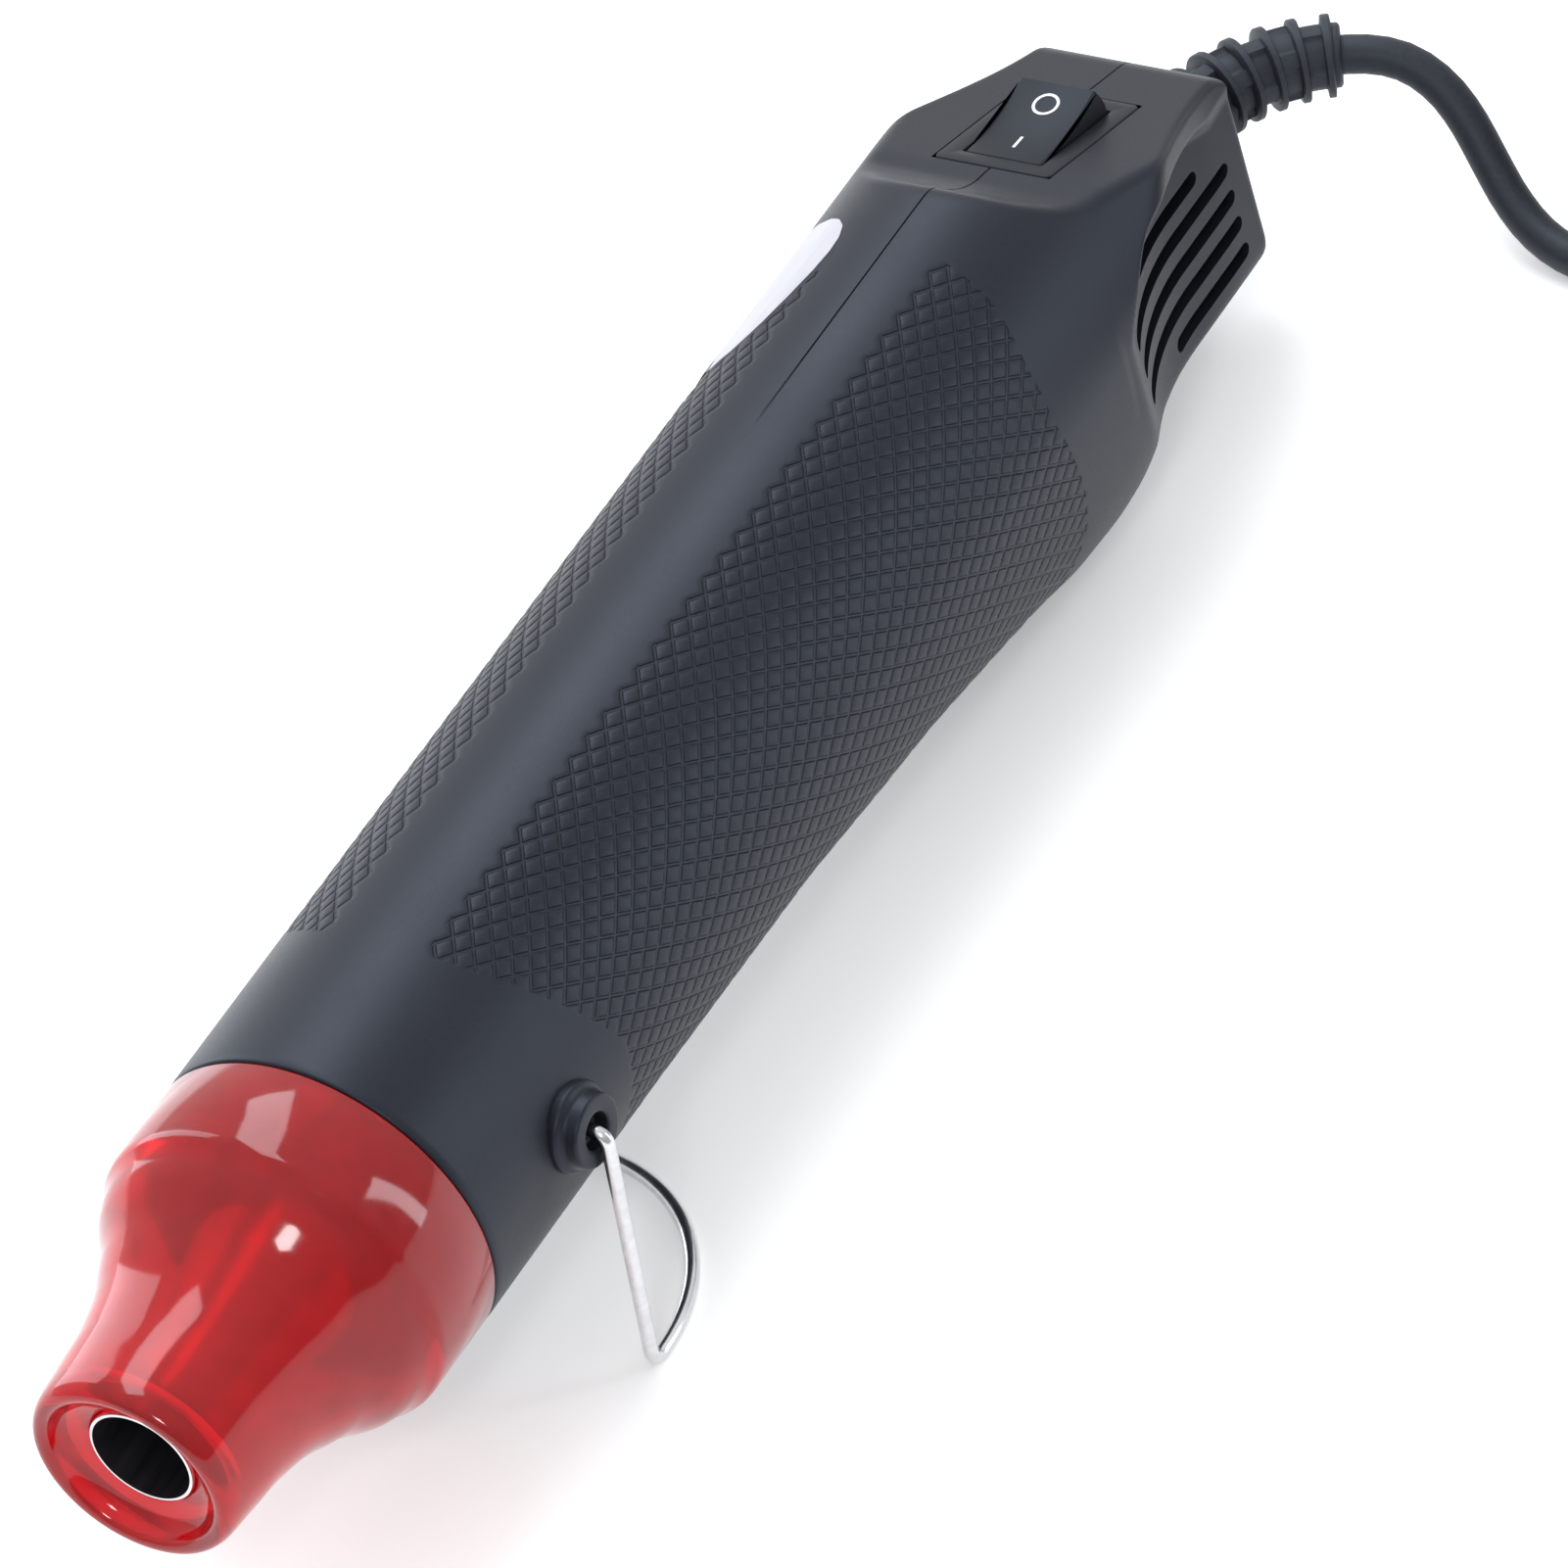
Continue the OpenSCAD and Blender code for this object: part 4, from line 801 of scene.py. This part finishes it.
def makeMaterial(name, look):
    # Two tones mixed by a pattern, gloss varied by broad patches, relief from the fine pattern
    m = bpy.data.materials.new(name)
    m.use_nodes = True
    nodes, links = m.node_tree.nodes, m.node_tree.links
    shader = nodes["Principled BSDF"]
    coords = nodes.new("ShaderNodeTexCoord")
    mapping = nodes.new("ShaderNodeMapping")
    mapping.inputs["Scale"].default_value = look.get("stretch", (1, 1, 1))
    links.new(coords.outputs["Object"], mapping.inputs["Vector"])

    if look.get("pattern") == "cells":
        fine = nodes.new("ShaderNodeTexVoronoi")
        fineOut = fine.outputs["Distance"]
    elif look.get("pattern") == "bands":
        fine = nodes.new("ShaderNodeTexWave")
        fine.bands_direction = look.get("direction", "Y")
        fineOut = fine.outputs["Fac"]
    else:
        fine = nodes.new("ShaderNodeTexNoise")
        fine.inputs["Detail"].default_value = 4.0
        fineOut = fine.outputs["Fac"]
    fine.inputs["Scale"].default_value = look["grain"]
    broad = nodes.new("ShaderNodeTexNoise")
    broad.inputs["Scale"].default_value = look.get("patch", 40.0)
    broad.inputs["Detail"].default_value = 3.0
    links.new(mapping.outputs["Vector"], fine.inputs["Vector"])
    links.new(coords.outputs["Object"], broad.inputs["Vector"])

    blend = nodes.new("ShaderNodeMath")
    blend.operation = "MULTIPLY_ADD"
    blend.inputs[1].default_value = look.get("patchShare", 0.5)
    links.new(broad.outputs["Fac"], blend.inputs[0])
    part = nodes.new("ShaderNodeMath")
    part.operation = "MULTIPLY"
    part.inputs[1].default_value = 1 - look.get("patchShare", 0.5)
    links.new(fineOut, part.inputs[0])
    links.new(part.outputs[0], blend.inputs[2])

    ramp = nodes.new("ShaderNodeValToRGB")
    ramp.color_ramp.elements[0].position = 0.3
    ramp.color_ramp.elements[1].position = 0.7
    ramp.color_ramp.elements[0].color = tone(look["dark"])
    ramp.color_ramp.elements[1].color = tone(look["light"])
    links.new(blend.outputs[0], ramp.inputs["Fac"])
    links.new(ramp.outputs["Color"], shader.inputs["Base Color"])

    gloss = nodes.new("ShaderNodeMapRange")
    gloss.inputs["From Min"].default_value = 0.3
    gloss.inputs["From Max"].default_value = 0.7
    gloss.inputs["To Min"].default_value = look["rough"][0]
    gloss.inputs["To Max"].default_value = look["rough"][1]
    links.new(blend.outputs[0], gloss.inputs["Value"])
    links.new(gloss.outputs["Result"], shader.inputs["Roughness"])

    bump = nodes.new("ShaderNodeBump")
    bump.inputs["Strength"].default_value = look.get("relief", 0.3)
    bump.inputs["Distance"].default_value = look.get("reliefDepth", 0.03) * mm
    links.new(fineOut, bump.inputs["Height"])
    links.new(bump.outputs["Normal"], shader.inputs["Normal"])
    for socket, value in look.get("set", {}).items():
        shader.inputs[socket].default_value = value
    return m


looks = {
    "housing": {"dark": (0.0055, 0.0062, 0.0085), "light": (0.0105, 0.0115, 0.016), "rough": (0.38, 0.50),
                "grain": 2600.0, "patch": 45.0, "patchShare": 0.45, "relief": 0.35, "reliefDepth": 0.035,
                "set": {"Specular IOR Level": 0.4, "Specular Tint": (0.7, 0.78, 1.0, 1.0),
                        "Sheen Weight": 0.02, "Sheen Roughness": 0.4}},
    "guard": {"dark": (0.60, 0.003, 0.008), "light": (0.80, 0.006, 0.014), "rough": (0.07, 0.12),
              "grain": 300.0, "patch": 60.0, "relief": 0.05, "reliefDepth": 0.02,
              "set": {"Transmission Weight": 0.7, "IOR": 1.45, "Specular IOR Level": 0.4, "Coat Weight": 0.15,
                      "Coat Roughness": 0.04}},
    "steel": {"dark": (0.56, 0.56, 0.57), "light": (0.78, 0.78, 0.79), "rough": (0.14, 0.26), "grain": 900.0,
              "stretch": (1, 0.05, 1), "relief": 0.12, "reliefDepth": 0.01, "set": {"Metallic": 1.0}},
    "heated": {"dark": (0.16, 0.14, 0.12), "light": (0.42, 0.36, 0.28), "rough": (0.25, 0.45), "grain": 700.0,
               "stretch": (1, 0.08, 1), "relief": 0.15, "set": {"Metallic": 1.0}},
    # Near-black finish for the inside of the outlet's bore: painted shade in the recess
    "paintedBoreShade": {"dark": (0.008, 0.008, 0.011), "light": (0.03, 0.03, 0.036), "rough": (0.45, 0.7),
              "grain": 700.0,
              "stretch": (1, 0.08, 1), "relief": 0.15, "set": {"Metallic": 0.4, "Specular IOR Level": 0.2}},
    "mica": {"dark": (0.38, 0.32, 0.2), "light": (0.6, 0.54, 0.4), "rough": (0.3, 0.55), "grain": 260.0,
             "pattern": "cells", "relief": 0.2, "set": {"Coat Weight": 0.2}},
    "ceramic": {"dark": (0.55, 0.5, 0.42), "light": (0.72, 0.68, 0.6), "rough": (0.5, 0.7), "grain": 1400.0,
                "relief": 0.3},
    "wire": {"dark": (0.2, 0.19, 0.18), "light": (0.4, 0.38, 0.35), "rough": (0.3, 0.5), "grain": 1500.0,
             "relief": 0.2, "set": {"Metallic": 1.0}},
    "innerPlastic": {"dark": (0.02, 0.021, 0.023), "light": (0.045, 0.046, 0.05), "rough": (0.4, 0.6),
                     "grain": 1800.0, "relief": 0.25},
    "magnet": {"dark": (0.03, 0.03, 0.032), "light": (0.08, 0.08, 0.085), "rough": (0.5, 0.75),
               "grain": 2200.0, "relief": 0.4},
    "copper": {"dark": (0.3, 0.1, 0.04), "light": (0.65, 0.28, 0.12), "rough": (0.25, 0.4), "grain": 420.0,
               "pattern": "bands", "relief": 0.5, "reliefDepth": 0.1, "set": {"Metallic": 0.9}},
    "brass": {"dark": (0.5, 0.34, 0.1), "light": (0.72, 0.55, 0.22), "rough": (0.2, 0.35), "grain": 1100.0,
              "relief": 0.15, "set": {"Metallic": 1.0}},
    "board": {"dark": (0.01, 0.07, 0.025), "light": (0.03, 0.16, 0.06), "rough": (0.35, 0.5), "grain": 350.0,
              "pattern": "cells", "relief": 0.2},
    "switch": {"dark": (0.006, 0.0065, 0.008), "light": (0.012, 0.013, 0.016), "rough": (0.38, 0.48),
               "grain": 1800.0, "relief": 0.12, "reliefDepth": 0.015,
               "set": {"Specular IOR Level": 0.32, "Specular Tint": (0.7, 0.82, 1.0, 1.0)}},
    "mark": {"dark": (0.74, 0.75, 0.77), "light": (0.88, 0.89, 0.9), "rough": (0.4, 0.55), "grain": 3000.0,
             "relief": 0.1},
    "label": {"dark": (0.47, 0.465, 0.51), "light": (0.6, 0.595, 0.65), "rough": (0.35, 0.5), "grain": 500.0,
              "stretch": (1, 0.2, 1), "relief": 0.1, "set": {"Metallic": 0.1, "Specular IOR Level": 0.2}},
    "rubber": {"dark": (0.016, 0.018, 0.024), "light": (0.032, 0.035, 0.044), "rough": (0.46, 0.62),
               "grain": 1500.0, "relief": 0.3,
               "set": {"Specular IOR Level": 0.42, "Specular Tint": (0.8, 0.88, 1.0, 1.0)}},
    "red": {"dark": (0.3, 0.01, 0.01), "light": (0.5, 0.03, 0.03), "rough": (0.35, 0.5), "grain": 900.0,
            "relief": 0.15},
    "blue": {"dark": (0.01, 0.03, 0.25), "light": (0.03, 0.08, 0.45), "rough": (0.35, 0.5), "grain": 900.0,
             "relief": 0.15},
    "brown": {"dark": (0.09, 0.035, 0.015), "light": (0.18, 0.08, 0.035), "rough": (0.35, 0.5),
              "grain": 900.0, "relief": 0.15},
    "pin": {"dark": (0.6, 0.58, 0.52), "light": (0.82, 0.8, 0.75), "rough": (0.16, 0.28), "grain": 1200.0,
            "stretch": (0.06, 1, 1), "relief": 0.1, "set": {"Metallic": 1.0}},
}
finish = {name: makeMaterial(name, look) for name, look in looks.items()}


def addFineTroughs(m):
    # Height: one minus the distance to the nearest trough line, eased, times the patch; fed under the grain
    nodes, links = m.node_tree.nodes, m.node_tree.links

    def maths(operation, first, second=None, third=None):
        node = nodes.new("ShaderNodeMath")
        node.operation = operation
        for k, value in enumerate((first, second, third)):
            if value is None:
                continue
            if isinstance(value, float):
                node.inputs[k].default_value = value
            else:
                links.new(value, node.inputs[k])
        return node.outputs[0]

    store = nodes.new("ShaderNodeAttribute")
    store.attribute_name = "knurl"
    split = nodes.new("ShaderNodeSeparateXYZ")
    links.new(store.outputs["Vector"], split.inputs[0])
    spacing = 1 / math.hypot(1 / knurl["along"], 1 / knurl["across"])
    troughs = []
    for key in ("X", "Y"):
        away = maths("PINGPONG", split.outputs[key], 0.5)
        ease = nodes.new("ShaderNodeMapRange")
        ease.interpolation_type = "SMOOTHSTEP"
        ease.inputs["From Min"].default_value = 0.1 / spacing
        ease.inputs["From Max"].default_value = knurl["fineWidth"] / spacing
        links.new(away, ease.inputs["Value"])
        troughs.append(ease.outputs["Result"])
    height = maths("MINIMUM", troughs[0], troughs[1])
    patch = nodes.new("ShaderNodeMapRange")
    patch.inputs["From Min"].default_value = 0.0
    patch.inputs["From Max"].default_value = 0.25
    links.new(split.outputs["Z"], patch.inputs["Value"])
    sunk = maths("MULTIPLY", maths("SUBTRACT", 1.0, height), patch.outputs["Result"])
    under = nodes.new("ShaderNodeBump")
    under.inputs["Strength"].default_value = 1.0
    under.inputs["Distance"].default_value = knurl["fineDepth"] * mm
    links.new(maths("SUBTRACT", 1.0, sunk), under.inputs["Height"])
    grain = [node for node in nodes if node.type == "BUMP" and node != under][0]
    links.new(under.outputs["Normal"], grain.inputs["Normal"])


addFineTroughs(finish["housing"])


def paint(name, *objects):
    # One finish on each object
    for obj in objects:
        obj.data.materials.clear()
        obj.data.materials.append(finish[name])


paint("housing", rightHalf, leftHalf)
for obj in list(bpy.data.objects):
    if obj.name.startswith(("screwPocket", "standBoss")):
        paint("housing", obj)
paint("guard", guardShell)
paint("steel", standWire, outletTube)
# Inward faces of the bore, nearer the axis than the shade radius, take the near-black finish: painted shade
# inside the tube
outletTube.data.materials.append(finish["paintedBoreShade"])
for face in outletTube.data.polygons:
    middle = face.center / mm
    fromAxis = math.hypot(middle[0], middle[2] - body["axisHeight"])
    inward = face.normal[0] * middle[0] + face.normal[2] * (middle[2] - body["axisHeight"]) < 0
    face.material_index = 1 if inward and fromAxis < tube["paintedShadeRadius"] else 0
paint("switch", switchFrame, rockerKey)
paint("mark", *rockerMarks)
paint("label", blankLabel)
paint("rubber", reliefBoot, powerCord)
nodeFinish = {
    "housing_right": "housing", "housing_left": "housing", "nozzle_guard": "guard", "heater_tube": "heated",
    "mica_liner": "mica", "mica_cross": "mica", "heating_coil": "wire", "element_base": "mica",
    "thermal_cutout": "ceramic", "fan_shroud": "innerPlastic", "fan_impeller": "innerPlastic",
    "motor_shaft": "steel", "motor_can": "steel", "motor_magnets": "magnet", "motor_armature": "copper",
    "commutator": "brass", "motor_end_cap": "innerPlastic", "motor_mount": "innerPlastic",
    "rectifier_board": "board", "rectifier_diodes": "switch", "capacitor": "blue", "switch_body": "switch",
    "switch_rocker": "switch", "rocker_pin": "steel", "switch_terminals": "brass", "stand": "steel",
    "rating_label": "label", "housing_screws": "steel", "cord_clamp": "innerPlastic", "clamp_screws": "steel",
    "lead_heater": "red", "lead_motor": "blue", "lead_supply": "brown", "strain_relief": "rubber",
    "power_cord": "rubber", "cord_coil": "rubber", "cord_tail": "rubber", "cord_tie": "innerPlastic",
    "plug_body": "rubber", "plug_pins": "pin"}
for node, name in nodeFinish.items():
    paint(name, frame["nodes"][node])
print("materials made")


# Studio: pale floor, wide soft lamps

studio = {"floor": 12.0, "floorTone": (0.95, 0.955, 0.965), "floorGlow": 0.26, "low": 0.4, "high": 1.05,
          "from": (-0.45, 0.35, 0.82),
          "lamps": (("overhead", (-0.3, 0.45, 1.1), (0.4, 1.2), 7.0, (0.9, 0.95, 1.0)),
                    ("left", (-1.1, 0.3, 0.5), (0.4, 1.3), 4.5, (0.86, 0.93, 1.0)),
                    ("right", (1.1, 0.75, 0.3), (0.2, 1.1), 4.0, (0.92, 0.97, 1.0)),
                    ("front", (0.55, -0.9, 1.0), (0.22, 0.22), 3.0, (1.0, 1.0, 1.0)))}

floorMesh = np.array([[-1, -1, 0], [1, -1, 0], [1, 1, 0], [-1, 1, 0]]) * studio["floor"] / 2
floorData = bpy.data.meshes.new("floor")
floorData.from_pydata(floorMesh.tolist(), [], [(0, 1, 2, 3)])
floor = bpy.data.objects.new("floor", floorData)
bpy.context.collection.objects.link(floor)
floorLook = makeMaterial("floorFinish", {
    "dark": tuple(c * 0.985 for c in studio["floorTone"]), "light": studio["floorTone"], "rough": (0.75, 0.9),
    "grain": 300.0, "relief": 0.02, "patch": 3.0,
    "set": {"Specular IOR Level": 0.1, "Emission Color": (1, 1, 1, 1)}})
floorData.materials.append(floorLook)

# A little glow, for the camera and in gloss and glass only, takes the floor to white and lights nothing
glowNodes, glowLinks = floorLook.node_tree.nodes, floorLook.node_tree.links
rays = glowNodes.new("ShaderNodeLightPath")
glow = rays.outputs["Is Camera Ray"]
for operation, other in (("MAXIMUM", "Is Glossy Ray"), ("MAXIMUM", "Is Transmission Ray"),
                         ("MULTIPLY", None)):
    step = glowNodes.new("ShaderNodeMath")
    step.operation = operation
    glowLinks.new(glow, step.inputs[0])
    if other:
        glowLinks.new(rays.outputs[other], step.inputs[1])
    else:
        step.inputs[1].default_value = studio["floorGlow"]
    glow = step.outputs[0]
glowLinks.new(glow, glowNodes["Principled BSDF"].inputs["Emission Strength"])

for name, at, size, power, colour in studio["lamps"]:
    data = bpy.data.lights.new(name, "AREA")
    data.shape = "RECTANGLE"
    data.size, data.size_y = size
    data.energy = power
    data.color = colour
    lamp = bpy.data.objects.new(name, data)
    lamp.location = at
    lamp.rotation_euler = (Vector((0, 0, 0.03)) - Vector(at)).to_track_quat("-Z", "Y").to_euler()
    bpy.context.collection.objects.link(lamp)

bpy.context.scene.view_settings.view_transform = "Standard"
world = bpy.data.worlds.new("studio")
bpy.context.scene.world = world
world.use_nodes = True
worldNodes, worldLinks = world.node_tree.nodes, world.node_tree.links
skyCoords = worldNodes.new("ShaderNodeTexCoord")
skyDot = worldNodes.new("ShaderNodeVectorMath")
skyDot.operation = "DOT_PRODUCT"
skyDot.inputs[1].default_value = Vector(studio["from"]).normalized()
worldLinks.new(skyCoords.outputs["Generated"], skyDot.inputs[0])
skyRange = worldNodes.new("ShaderNodeMapRange")
skyRange.inputs["From Min"].default_value = -0.5
skyRange.inputs["To Min"].default_value = studio["low"]
skyRange.inputs["To Max"].default_value = studio["high"]
worldLinks.new(skyDot.outputs["Value"], skyRange.inputs["Value"])
worldNodes["Background"].inputs["Color"].default_value = (1, 1, 1, 1)
worldLinks.new(skyRange.outputs["Result"], worldNodes["Background"].inputs["Strength"])
print("studio made")
